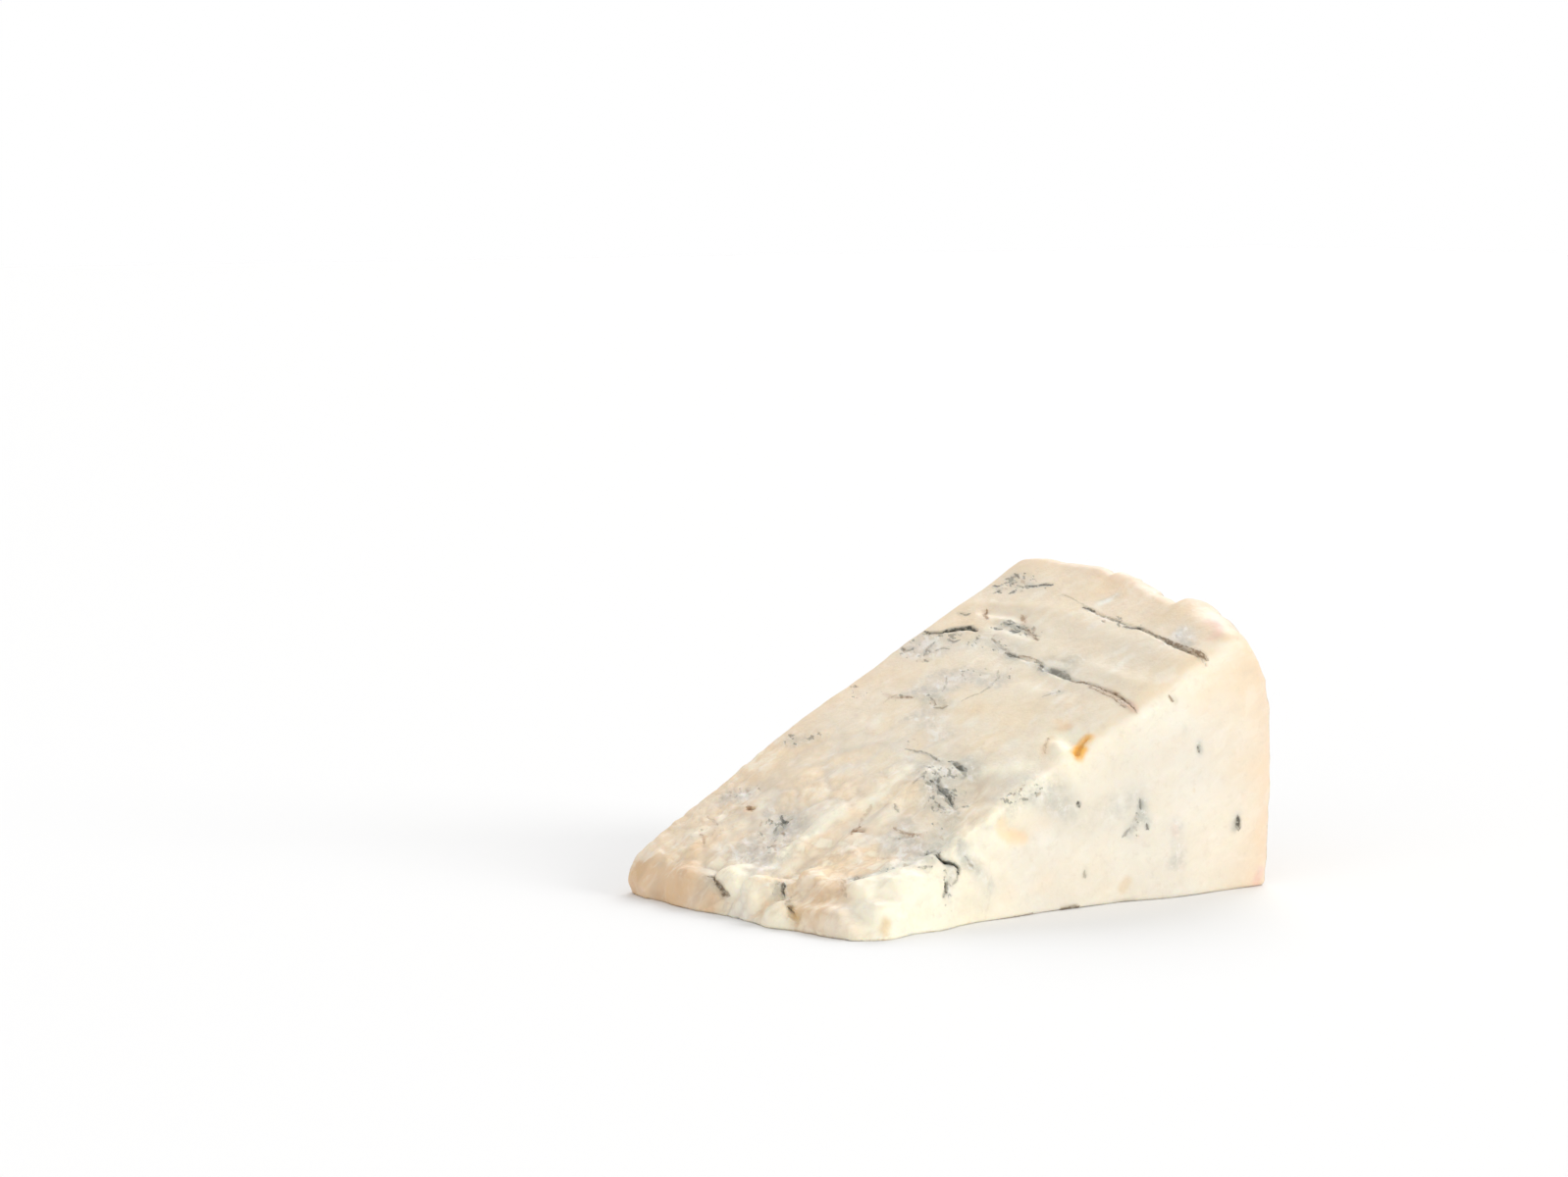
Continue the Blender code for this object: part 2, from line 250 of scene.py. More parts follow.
# Rises and hollows: points, radius, how far out (or in, if negative).
SWELLS = (
    (on_slope((15.1, 46.6), (22.3, 44.9), (32.1, 45.5)), 2.6, 1.1),
    (on_slope((14.0, 38.6), (24.0, 38.0), (36.0, 38.6)), 2.0, -0.8),
    (on_slope((34.0, 32.6), (42.0, 33.6), (50.0, 35.4)), 2.2, 1.0),
    (on_slope((30.0, 29.6), (38.0, 29.0)), 2.0, -0.7),
    (on_slope((18.0, 56.6), (27.0, 58.4)), 3.0, -0.7),
    (on_slope((34.0, 12.0), (42.0, 17.0), (50.0, 19.0)), 5.0, -1.5),
    (on_slope((25.0, 20.0), (30.0, 12.6)), 4.0, -0.9),
    ([(34.0, 5.6, 17.2), (41.0, 5.2, 21.4), (47.0, 5.6, 24.6)], 1.8, 0.8),
    (PEACH_HOLLOW, 1.7, -1.2),
    ([(72.4, 8.8, 39.4), (73.6, 12.4, 40.4)], 3.0, -1.2),
    ([(70.4, 11.0, 38.4), (69.0, 8.0, 36.6)], 1.7, 0.9),
    ([(66.0, 4.6, 34.4), (63.0, 5.0, 31.6)], 3.4, -0.7),
    (on_slope((105.3, 76.7), (105.9, 71.8), (106.8, 67.8), (106.2, 64.6)), 1.9, -1.2),
    (on_slope((101.5, 69.0), (101.5, 60.0), (100.6, 54.0)), 1.5, -0.5),
    (on_slope((110.2, 56.0), (108.6, 40.0), (107.4, 24.0), (104.6, 8.0)), 4.5, 0.35),
    (on_slope((96.4, 40.0), (95.4, 24.0), (94.6, 8.0)), 3.0, 0.4),
    (on_slope((87.0, 40.0), (86.4, 24.0)), 3.0, -0.35),
    (on_slope((104.8, 84.0), (111.0, 60.0)), 3.0, 0.3),
    ([(20.5, 4.6, 9.6), (22.0, 5.2, 11.0)], 6.0, 1.0),
)
# Lumps of curd at the crumbly end: centre and half sizes.
CURDS = (
    ((6.0, 52.0, 6.2), (4.2, 4.6, 4.6)), ((2.2, 40.0, 4.4), (2.6, 3.2, 4.8)), ((5.6, 38.2, 5.2), (3.4, 2.6, 4.6)),
    ((1.6, 28.6, 1.0), (3.4, 3.2, 3.6)), ((14.2, 12.6, 7.6), (5.6, 5.0, 4.4)), ((12.0, 4.6, 3.4), (6.0, 4.6, 4.6)),
    ((21.6, 7.4, 8.4), (6.4, 5.0, 5.6)), ((5.2, 12.4, 2.6), (5.0, 4.6, 3.6)), ((11.4, 22.8, 5.6), (5.0, 4.2, 4.6)),
    ((4.6, 19.4, 2.0), (3.8, 4.0, 3.2)), ((26.4, 6.2, 4.6), (6.0, 4.4, 5.2)), ((38.0, 7.6, 8.0), (6.5, 4.6, 6.0)),
    ((13.0, 30.4, 7.8), (4.2, 3.6, 3.8)), ((2.6, 66.0, 3.2), (3.0, 5.0, 5.0)), ((9.6, 45.6, 7.0), (4.2, 3.6, 3.8)),
)


def line_distance(p, points, widths=None, through=None, share=1.0):
    """Distance from each point of p to a line through points, and the line's width where it is nearest.

    The part of the distance that runs along the direction through is left out, or only that share of it."""
    best = np.full(p.shape[:-1], 1e9)
    width = np.zeros(p.shape[:-1])
    widths = widths or (1.0,) * len(points)
    for a, b, wa, wb in zip(points, points[1:], widths, widths[1:]):
        a, b = np.array(a), np.array(b)
        ab = b - a
        t = np.clip(((p - a) @ ab) / (ab @ ab), 0, 1)
        v = (p - a) - t[..., None] * ab
        d = (v**2).sum(-1)
        if through is not None:
            d = np.maximum(d - share * (v * through).sum(-1) ** 2, 0)
        d = np.sqrt(d)
        near = d < best
        width = np.where(near, wa + (wb - wa) * t, width)
        best = np.where(near, d, best)
    return best, width


def beside(p, points, widths, through):
    """Signed distance across a line drawn on a face, the line's half width there, and how far past its ends."""
    best = np.full(len(p), 1e9)
    side, half, past = np.ones(len(p)), np.zeros(len(p)), np.zeros(len(p))
    last = len(points) - 2
    for i, (a, b, wa, wb) in enumerate(zip(points, points[1:], widths, widths[1:])):
        a, b = np.array(a), np.array(b)
        flat = lambda v: v - 0.92 * (v @ through)[:, None] * through
        ab = b - a
        ab = ab - (ab @ through) * through
        long = math.sqrt(ab @ ab) + 1e-9
        v = flat(p - a)
        t = (v @ ab) / long**2
        c = np.clip(t, 0, 1)
        d = np.sqrt(((v - c[:, None] * ab) ** 2).sum(1))
        near = d < best
        best = np.where(near, d, best)
        side = np.where(near, np.sign(v @ np.cross(through, ab) + 1e-12), side)
        half = np.where(near, wa + (wb - wa) * c, half)
        over = np.maximum(-t if i == 0 else 0 * t, 0) + np.maximum(t - 1 if i == last else 0 * t, 0)
        past = np.where(near, over * long, past)
    return best * side, half, past


def facing(points):
    """The outward direction of the cut face that a feature lies on."""
    x, y, z = np.mean(points, 0)
    if x < 4.5:
        return NOSE_NORMAL
    return SLOPE_NORMAL if slope_height(x, y) - z < 2.5 and y > 5.5 else FRONT_NORMAL


def volume():
    """The wedge as distances on a regular grid."""
    axes = [np.arange(LOW[a], HIGH[a], STEP) for a in range(3)]
    x, y, z = np.meshgrid(*[a.astype(np.float32) for a in axes], indexing="ij", sparse=True)
    d = wedge(x, y, z).astype(np.float32)
    wobble = Field(1.9, 11).dense(axes) * 0.45 + Field(4.2, 12).dense(axes) * 0.9

    def block(points, margin):
        low = np.min(points, 0) - margin
        high = np.max(points, 0) + margin
        cut = tuple(slice(max(int((low[a] - LOW[a]) / STEP), 0), int((high[a] - LOW[a]) / STEP) + 2) for a in range(3))
        p = np.stack(np.meshgrid(*[axes[a][cut[a]] for a in range(3)], indexing="ij"), -1)
        return cut, p

    # The knife's unevenness, long waves everywhere and shorter ones towards the crumbly nose.
    d += 0.55 * Field(13.0, 1).dense(axes) * 0.6
    crumbly = np.clip((62.0 - x) / 50.0, 0, 1)
    inner = ease((84.0 - y) / 6.0)
    d += (0.10 + 0.42 * crumbly * inner) * Field(5.0, 2).dense(axes)
    d += (0.03 + 0.34 * crumbly * inner) * Field((6.0, 1.9, 1.9), 3).dense(axes)
    for points, radius, out in SWELLS:
        cut, p = block(points, radius * 2.2 + 1)
        r, _ = line_distance(p, points)
        d[cut] -= (out * np.exp(-(((r + 0.6 * wobble[cut]) / radius) ** 2))).astype(np.float32)
    # Curd that has come apart into lumps: the paste draws back between them.
    cut, p = block(np.array([[-3.0, -3.0, -1.0], [76.0, 92.0, 50.0]]), 0)
    band = np.abs(d[cut]) < 3.0
    q = p[band]
    first, second, _ = curd_cells(q)
    gap = np.exp(-((second - first) / 0.13) ** 2)
    where = ease(Field(9.0, 24)(q) * 1.6 + 0.35)
    zone = ease((22.0 - q[:, 0]) / 14.0) * ease((62.0 - q[:, 1]) / 10.0) * ease((q[:, 1] - 10.0) / 12.0)
    zone = np.maximum(zone, 0.40 * ease((36.0 - q[:, 0]) / 14.0) * ease((26.0 - q[:, 1]) / 12.0))
    zone = np.maximum(zone, 0.42 * where * ease((62.0 - q[:, 0]) / 30.0) * ease((q[:, 1] - 6.0) / 8.0) * ease((84.0 - q[:, 1]) / 8.0))
    part = d[cut]
    part[band] += (zone * (0.55 * gap * where + 0.6 * first**2 - 0.16)).astype(np.float32)
    d[cut] = part
    for centre, half in CURDS:
        centre, half = np.array(centre), np.array(half)
        cut, p = block(np.array([centre - half, centre + half]), 3.0)
        size = float(half.min())
        # Between a ball and a block, with an uneven face.
        ball = (np.abs((p - centre) / half) ** 2.4).sum(-1) ** (1 / 2.4)
        ball = (ball - 1.0) * size + 0.5 * wobble[cut]
        d[cut] = joined(d[cut], ball.astype(np.float32), 2.6)
    for points, widths, depth in GROOVES:
        cut, p = block(points, depth + 2.0)
        r, w = line_distance(p, points, widths, facing(points))
        # A groove is narrow and deep: a slot as wide as w round the line, to its depth below the surface.
        skin = d[cut]
        slot = np.sqrt((r / np.maximum(w, 0.05)) ** 2)
        inward = np.clip(-skin / depth, 0, 4)
        beyond = (np.hypot(np.maximum(slot + 0.30 * wobble[cut], 0), inward) - 1.0) * np.maximum(w, 0.3)
        d[cut] = np.maximum(skin, -beyond).astype(np.float32)
    foot = 0.5 * Field((6.0, 6.0, 40.0), 8).dense(axes) + 1.6 * ease((8.0 - x) / 8.0) * ease((y - 60.0) / 16.0)
    low = np.exp(-(np.clip(z, 0, None) / 2.2) ** 2)
    d += foot * low * 0.9
    return axes, rounded(d, -z + np.zeros_like(d), EDGE_BASE).astype(np.float32)


def surface():
    """Vertices and triangles of the wedge's surface."""
    axes, d = volume()
    grid = openvdb.FloatGrid(5.0)
    grid.copyFromArray(np.clip(d, -5.0, 5.0))
    points, triangles, quads = grid.convertToPolygons(isovalue=0.0, adaptivity=0.0)
    points = np.asarray(points, float) * STEP + LOW
    quads = np.asarray(quads, int)
    # Only the one closed shell of the wedge is kept.
    label = np.arange(len(points))
    while True:
        least = label[quads].min(1)
        new = label.copy()
        for c in range(4):
            np.minimum.at(new, quads[:, c], least)
        new = new[new]
        if (new == label).all():
            break
        label = new
    keep = label == np.bincount(label).argmax()
    quads = quads[keep[quads[:, 0]]]
    order = np.cumsum(keep) - 1
    return points[keep], order[quads]


def make_mesh(name, points, faces):
    mesh = bpy.data.meshes.new(name)
    mesh.vertices.add(len(points))
    mesh.vertices.foreach_set("co", np.ascontiguousarray(points, np.float32).ravel())
    sides = faces.shape[1]
    mesh.loops.add(faces.size)
    mesh.loops.foreach_set("vertex_index", faces.astype(np.int32).ravel())
    mesh.polygons.add(len(faces))
    mesh.polygons.foreach_set("loop_start", np.arange(0, faces.size, sides, dtype=np.int32))
    mesh.update(calc_edges=True)
    return mesh


def read_mesh(mesh):
    points = np.empty(len(mesh.vertices) * 3, np.float32)
    mesh.vertices.foreach_get("co", points)
    normals = np.empty(len(mesh.vertices) * 3, np.float32)
    mesh.vertex_normals.foreach_get("vector", normals)
    return points.reshape(-1, 3).astype(float), normals.reshape(-1, 3).astype(float)


def faces_of(mesh, sides):
    index = np.empty(len(mesh.loops), np.int32)
    mesh.loops.foreach_get("vertex_index", index)
    return index.reshape(-1, sides)


# ---- colours and finishes, by place ----------------------------------------------------------------------
def linear(*rgb):
    c = np.array(rgb, float) / 255.0
    return np.where(c <= 0.04045, c / 12.92, ((c + 0.055) / 1.055) ** 2.4)


CREAM = linear(231, 223, 206)          # fresh paste of the front cut
BEIGE = linear(230, 213, 184)          # drier, smeared paste of the slope
UNDER = linear(232, 208, 176)          # next to the rind
RIND = linear(202, 181, 155)
RIND_DARK = linear(152, 127, 102)
RIND_BLOOM = linear(214, 209, 197)
TAN = linear(219, 182, 138)
MOULD = linear(176, 179, 171)          # blue-grey tint round a vein
LILAC = linear(200, 195, 189)
SHADED = linear(92, 94, 82)            # dark green-grey of the veins
OLIVE = linear(112, 100, 62)
BROWN = linear(166, 126, 92)
AMBER = linear(234, 170, 28)
# Pale fresh paste, also laid on as a painted highlight on lumps, ridges and the top of the front face.
FRESH_AND_HIGHLIGHT = linear(247, 240, 216)
CRUST = linear(228, 203, 178)
PEACH = linear(246, 208, 158)
GOLD = linear(206, 160, 50)
ROSE = linear(226, 186, 166)
WHITE = linear(240, 236, 224)

# Marks in the paste: colour, strength, radius and points. A mark fades out from the line through its points.
MARKS = (
    # soft blue-grey tints
    (MOULD, 0.41, 4.2, on_slope((117.6, 80.5), (117.6, 75.4))),
    (MOULD, 0.57, 2.6, on_slope((101.6, 66.6), (101.0, 58.0))),
    (MOULD, 0.54, 3.4, on_slope((95.4, 67.6), (95.0, 62.0), (94.0, 56.0), (93.2, 50.0))),
    (MOULD, 0.74, 1.9, on_slope((92.6, 44.5), (91.6, 37.0), (91.2, 32.5))),
    (MOULD, 0.46, 3.4, on_slope((95.6, 42.0), (95.2, 33.0))),
    (MOULD, 0.54, 3.6, on_slope((90.6, 84.0), (94.0, 76.0))),
    (LILAC, 0.81, 4.6, on_slope((86.0, 82.6), (88.0, 74.0))),
    (LILAC, 0.84, 4.0, on_slope((79.9, 66.0), (82.0, 56.0), (84.0, 47.0))),
    (LILAC, 0.68, 3.2, on_slope((73.0, 66.0), (77.0, 56.0))),
    (MOULD, 0.47, 1.6, on_slope((83.4, 31.2), (85.0, 27.6))),
    (MOULD, 0.49, 3.0, on_slope((72.2, 60.2), (71.2, 52.4))),
    (LILAC, 0.61, 4.0, on_slope((66.0, 56.0), (62.0, 44.0))),
    (MOULD, 0.62, 6.2, on_slope((52.4, 36.0), (50.6, 29.0), (46.8, 24.0))),
    (MOULD, 0.52, 4.6, on_slope((44.6, 22.6), (40.4, 18.0))),
    (MOULD, 0.62, 3.2, on_slope((57.4, 30.4), (55.6, 22.0))),
    (MOULD, 0.59, 3.2, [(51.6, 6.6, 26.6), (58.0, 5.4, 28.6), (64.0, 4.6, 30.6)]),
    (MOULD, 0.44, 5.2, [(58.0, 6.0, 30.5), (63.1, 5.4, 27.8), (65.7, 4.9, 25.7)]),
    (MOULD, 0.40, 4.6, [(66.0, 4.4, 24.4), (74.0, 4.0, 21.0), (81.6, 3.6, 22.6), (85.9, 3.1, 24.8)]),
    (LILAC, 0.55, 2.8, [(99.9, 1.0, 16.7), (99.4, 1.0, 8.4)]),
    (LILAC, 0.94, 5.2, on_slope((33.0, 24.0), (29.0, 15.0))),
    (MOULD, 0.62, 3.6, on_slope((35.4, 15.0), (31.0, 9.6))),
    (MOULD, 0.84, 1.9, on_slope((16.0, 20.4), (19.4, 15.8), (24.6, 9.6))),
    (MOULD, 0.46, 3.6, on_slope((22.0, 14.6), (28.0, 8.4))),
    (MOULD, 0.81, 1.5, [(31.6, 4.6, 12.4), (30.6, 4.0, 9.0), (29.2, 3.4, 6.4)]),
    (MOULD, 0.90, 2.3, [(37.3, 6.4, 15.9), (38.2, 4.5, 13.2), (39.6, 3.4, 11.9)]),
    (MOULD, 0.41, 3.0, [(40.6, 4.4, 12.2), (43.0, 4.4, 9.0)]),
    (LILAC, 0.95, 5.6, on_slope((27.0, 62.0), (23.0, 52.0))),
    (LILAC, 0.89, 5.6, on_slope((16.0, 60.0), (13.0, 48.0))),
    (MOULD, 0.41, 2.6, on_slope((26.6, 57.6), (21.6, 56.8))),
    (LILAC, 0.81, 3.0, on_slope((27.0, 82.0), (30.0, 77.0))),
    (MOULD, 0.41, 2.4, on_slope((46.6, 83.0), (48.6, 76.0))),
    (MOULD, 0.46, 2.4, [(6.0, 36.0, 8.4), (4.4, 33.0, 6.0), (3.0, 31.0, 3.0)]),
    (MOULD, 0.41, 2.6, [(4.6, 62.0, 8.0), (3.6, 58.0, 6.8)]),
    (MOULD, 0.84, 1.7, [(89.0, 1.6, 23.0), (88.4, 1.8, 19.6), (85.8, 2.2, 16.8)]),
    (MOULD, 0.68, 1.7, [(89.6, 1.6, 22.0), (90.8, 1.6, 18.4)]),
    (MOULD, 0.84, 1.2, [(106.6, 0.6, 35.9), (107.0, 0.6, 34.6)]),
    (MOULD, 0.54, 1.1, [(101.9, 0.8, 40.8), (102.2, 0.8, 39.8)]),
    (MOULD, 0.46, 1.2, [(98.4, 1.0, 13.4), (98.6, 1.0, 8.0)]),
    (MOULD, 0.70, 1.1, [(73.4, 4.0, 9.4), (73.2, 4.0, 8.2)]),
    (MOULD, 0.89, 1.7, [(118.6, 0.6, 15.6), (119.4, 0.6, 17.4)]),
    (LILAC, 0.95, 2.6, on_slope((113.2, 15.0), (111.6, 8.4))),
    (MOULD, 0.38, 1.6, on_slope((118.0, 46.8), (120.8, 45.8))),
    (WHITE, 0.90, 1.4, on_slope((117.4, 47.0), (118.6, 46.4))),
    # dark veins, cracks and spots
    (SHADED, 0.75, 0.55, on_slope((114.6, 50.3), (113.4, 45.6))),
    (SHADED, 0.40, 0.50, on_slope((113.4, 45.6), (112.4, 37.6))),
    (SHADED, 0.72, 0.55, on_slope((112.1, 35.4), (111.5, 27.0))),
    (OLIVE, 0.60, 0.55, on_slope((111.4, 26.0), (110.0, 19.2))),
    (OLIVE, 0.88, 0.85, on_slope((109.8, 17.6), (108.7, 10.8), (108.2, 5.2), (108.2, 2.2))),
    (SHADED, 0.55, 0.9, on_slope((92.9, 52.6), (92.7, 49.0))),
    (SHADED, 0.62, 0.95, on_slope((92.4, 42.0), (91.3, 36.8), (90.6, 32.0))),
    (SHADED, 0.62, 0.55, on_slope((90.4, 30.5), (90.2, 25.3), (90.4, 19.2))),
    (BROWN, 0.80, 0.65, on_slope((90.3, 18.2), (89.6, 12.5), (88.2, 5.8), (87.7, 3.0))),
    (ROSE, 0.80, 1.2, on_slope((88.0, 5.2), (87.2, 1.6))),
    (BROWN, 0.50, 1.15, [(90.0, 20.0, 49.7), (89.0, 14.6, 48.8), (87.9, 8.7, 47.5), (87.1, 4.0, 46.0)]),
    (OLIVE, 0.88, 0.95, SLIT),
    (SHADED, 0.60, 0.8, on_slope((90.6, 86.0), (92.4, 83.0))),
    (SHADED, 0.80, 0.75, on_slope((117.5, 74.5), (118.5, 71.6), (119.2, 67.8))),
    (SHADED, 0.62, 0.8, on_slope((113.4, 82.0), (113.6, 79.0))),
    (SHADED, 0.62, 0.7, on_slope((118.8, 81.2), (118.8, 80.0))),
    (SHADED, 0.50, 0.8, on_slope((114.3, 75.6), (114.5, 74.2))),
    (BROWN, 0.75, 0.9, on_slope((105.2, 77.2), (104.6, 76.0))),
    (BROWN, 0.62, 0.9, on_slope((106.4, 64.2), (104.6, 62.0), (102.0, 57.6), (100.4, 53.4))),
    (SHADED, 0.55, 0.9, on_slope((102.6, 67.0), (101.0, 61.0))),
    (SHADED, 0.45, 0.7, on_slope((101.9, 83.6), (102.9, 80.4))),
    (SHADED, 0.42, 0.8, on_slope((95.6, 68.6), (94.6, 64.0), (93.8, 58.6))),
    (SHADED, 0.45, 0.9, on_slope((83.2, 76.6), (84.4, 74.2))),
    (SHADED, 0.45, 0.9, on_slope((85.4, 86.4), (86.4, 82.0))),
    (SHADED, 0.35, 0.6, on_slope((84.8, 54.8), (86.0, 49.0))),
    (OLIVE, 0.62, 1.0, on_slope((72.6, 60.0), (71.6, 56.6), (71.0, 53.0))),
    (BROWN, 0.62, 0.8, on_slope((69.5, 73.0), (69.3, 68.6), (70.7, 65.4))),
    (BROWN, 0.40, 1.0, on_slope((68.6, 84.0), (66.6, 80.0))),
    (SHADED, 0.45, 0.5, on_slope((55.8, 48.6), (55.3, 42.5), (55.1, 35.7))),
    (SHADED, 0.85, 0.8, on_slope((55.6, 31.0), (54.8, 27.8), (53.6, 24.8))),
    (SHADED, 0.85, 0.75, on_slope((49.6, 31.0), (47.8, 27.2), (46.3, 22.6), (44.4, 18.6), (43.4, 16.0))),
    (SHADED, 0.50, 0.6, on_slope((51.6, 34.0), (49.4, 30.4))),
    (SHADED, 0.95, 0.75, CREVICE),
    (SHADED, 0.80, 0.6, CREVICE_FOOT),
    (SHADED, 0.50, 0.5, on_slope((24.8, 9.6), (20.2, 15.0))),
    (SHADED, 0.80, 0.75, on_slope((26.9, 57.6), (24.6, 57.8), (21.8, 56.6))),
    (OLIVE, 0.86, 1.1, NOSE_CREVICE),
    (OLIVE, 0.70, 0.9, NOSE_SPLIT),
    (SHADED, 0.70, 0.6, [(89.0, 1.6, 23.8), (89.0, 1.6, 23.0)]),
    (SHADED, 0.72, 0.55, [(91.0, 1.6, 18.2), (91.0, 1.6, 17.8)]),
    (SHADED, 0.60, 0.55, [(85.4, 2.2, 16.8), (85.0, 2.2, 16.2)]),
    (SHADED, 0.80, 1.0, [(118.9, 0.6, 15.4), (119.3, 0.6, 17.2)]),
    (SHADED, 0.66, 0.55, [(106.6, 0.6, 35.8), (106.6, 0.6, 36.0)]),
    (SHADED, 0.76, 0.6, [(70.7, 4.0, 24.8), (71.0, 4.0, 25.0)]),
    (OLIVE, 0.55, 0.9, [(98.0, 1.2, 48.8), (99.0, 1.2, 47.4)]),
    (SHADED, 0.55, 0.5, on_slope((112.5, 14.9), (112.4, 14.5))),
    # browns, ambers and yellows
    (PEACH, 0.95, 1.6, PEACH_HOLLOW),
    (PEACH, 0.30, 3.0, [(64.0, 4.6, 32.6), (66.0, 4.0, 35.0)]),
    (PEACH, 0.45, 1.8, on_slope((76.4, 15.0), (76.8, 19.0))),
    (WHITE, 0.40, 2.0, on_slope((105.4, 75.6), (106.2, 66.0))),
    (PEACH, 0.22, 2.4, on_slope((105.4, 75.6), (106.2, 66.0))),
    (BROWN, 0.80, 1.0, on_slope((28.6, 35.6), (29.4, 33.2))),
    (BROWN, 0.40, 1.4, on_slope((32.0, 35.0), (37.6, 34.6))),
    (PEACH, 0.62, 2.6, on_slope((25.0, 41.6), (36.0, 41.0))),
    (BROWN, 0.72, 0.8, on_slope((30.8, 23.6), (32.2, 20.6), (33.4, 17.6))),
    (AMBER, 0.72, 0.75, on_slope((25.4, 72.0), (25.9, 70.6))),
    (BROWN, 0.40, 1.6, on_slope((26.0, 74.6), (24.6, 70.0))),
    (BROWN, 0.50, 0.9, on_slope((12.0, 75.0), (15.0, 73.4))),
    (GOLD, 1.00, 1.5, GOLD_PIT),
    (OLIVE, 0.60, 1.2, [(3.0, 28.3, 5.5), (1.9, 25.9, 4.5)]),
    (GOLD, 0.50, 1.3, [(9.4, 1.4, 4.0), (8.6, 1.4, 1.6)]),
    (BROWN, 0.34, 1.9, on_slope((8.0, 19.6), (10.6, 17.6))),
    (GOLD, 0.62, 0.5, [(105.2, 0.7, 25.0), (105.3, 0.7, 25.2)]),
    (ROSE, 0.50, 1.2, [(99.2, 1.0, 16.6), (99.3, 1.0, 15.6)]),
    (GOLD, 0.26, 1.3, [(85.0, 4.0, 3.4), (86.4, 4.0, 5.0)]),
    # Dark olive marks along the bottom edge of the front: painted shade under the foot where it meets the floor.
    (OLIVE, 0.70, 0.7, [(83.0, 4.6, 0.5), (88.6, 4.2, 0.5)]),
    (OLIVE, 0.70, 0.7, [(66.6, 5.0, 0.5), (70.4, 5.0, 0.5)]),
    (ROSE, 0.85, 1.2, [(126.2, 1.4, 1.4), (127.6, 1.6, 3.6)]),
    (ROSE, 0.90, 1.5, on_slope((120.4, 11.4), (118.2, 8.5), (115.7, 5.2))),
    (BROWN, 0.45, 1.0, on_slope((119.4, 10.0), (117.6, 7.6))),
    (PEACH, 0.26, 2.6, [(59.0, 3.6, 5.0), (62.0, 3.6, 8.0)]),
    # Pale bands along the raised ridges of the slope, here and in the next two lines: partly paler paste, partly a
    # painted highlight on the rises.
    (FRESH_AND_HIGHLIGHT, 1.00, 3.0, on_slope((15.4, 45.2), (23.2, 45.6), (31.1, 44.4))),
    (FRESH_AND_HIGHLIGHT, 0.85, 2.6, on_slope((36.2, 40.8), (41.9, 41.2), (49.3, 41.8))),
    (FRESH_AND_HIGHLIGHT, 0.45, 2.2, on_slope((35.0, 32.8), (42.0, 33.6))),
    (FRESH_AND_HIGHLIGHT, 0.70, 2.6, on_slope((57.0, 20.0), (62.0, 12.0))),
    (TAN, 0.52, 4.2, [(2.8, 21.2, 5.3), (0.8, 12.3, 4.5), (1.3, 7.4, 2.8)]),
    (TAN, 0.42, 3.6, [(8.4, 25.3, 8.7), (8.2, 18.5, 7.4)]),
    (TAN, 0.60, 3.4, [(4.7, 69.1, 9.3), (8.8, 69.8, 11.7), (12.6, 70.2, 13.5)]),
    (FRESH_AND_HIGHLIGHT, 1.00, 3.2, [(6.4, 54.6, 9.8), (5.1, 50.6, 10.2), (3.4, 47.6, 8.7)]),
    (FRESH_AND_HIGHLIGHT, 0.85, 2.0, [(2.4, 42.1, 8.4), (0.6, 38.5, 6.7), (0.5, 37.3, 4.1)]),
    # The paste of the next two lumps is cream; the extra lightness laid on them is a painted highlight on their shaded
    # sides.
    (FRESH_AND_HIGHLIGHT, 0.95, 2.6, [(10.8, 10.5, 11.1), (8.4, 8.2, 7.6), (5.6, 3.4, 3.0)]),
    (FRESH_AND_HIGHLIGHT, 1.00, 5.0, [(19.2, 11.0, 12.8), (18.5, 4.0, 11.7), (18.8, 2.5, 7.2)]),
    # A white band beside the lower crack: a painted highlight.
    (WHITE, 0.70, 1.3, [(93.8, 40.1, 53.3), (94.0, 36.8, 53.2), (93.8, 33.7, 52.9)]),
    (MOULD, 0.45, 2.2, [(89.8, 79.7, 55.4), (88.8, 72.9, 54.2), (92.5, 69.8, 55.8)]),
    (MOULD, 0.40, 2.4, [(97.6, 55.3, 56.9), (96.3, 50.0, 55.7)]),
    (FRESH_AND_HIGHLIGHT, 0.65, 2.6, [(61.1, 6.7, 32.4), (52.1, 6.8, 28.1), (45.5, 6.2, 24.6)]),
    (FRESH_AND_HIGHLIGHT, 0.75, 2.6, [(1.6, 28.6, 2.4), (0.6, 28.0, 1.4)]),
    # The pale marks here, on the recess and beside the amber hole, are a painted highlight.
    (FRESH_AND_HIGHLIGHT, 0.80, 2.4, [(74.6, 12.6, 40.6), (74.0, 9.0, 39.6)]),
    (TAN, 0.55, 1.2, [(74.8, 16.0, 41.1), (76.6, 14.6, 42.0)]),
    (FRESH_AND_HIGHLIGHT, 0.95, 3.4, [(72.3, 14.0, 39.5), (71.3, 9.7, 38.2), (68.9, 5.8, 36.0)]),
    (TAN, 0.70, 1.3, [(71.3, 15.4, 39.3), (68.4, 13.5, 37.8), (66.6, 11.2, 36.5)]),
    (AMBER, 0.85, 1.2, AMBER_HOLE),
    (AMBER, 1.00, 1.15, AMBER_HOLE[2:]),
    (AMBER, 1.00, 1.15, AMBER_HOLE[2:]),
    (GOLD, 0.55, 1.0, [(8.5, 0.6, 4.8), (7.8, 0.9, 2.4)]),
    (FRESH_AND_HIGHLIGHT, 0.80, 1.8, [(-1.2, 26.0, 2.2), (-0.6, 24.6, 1.2)]),
)
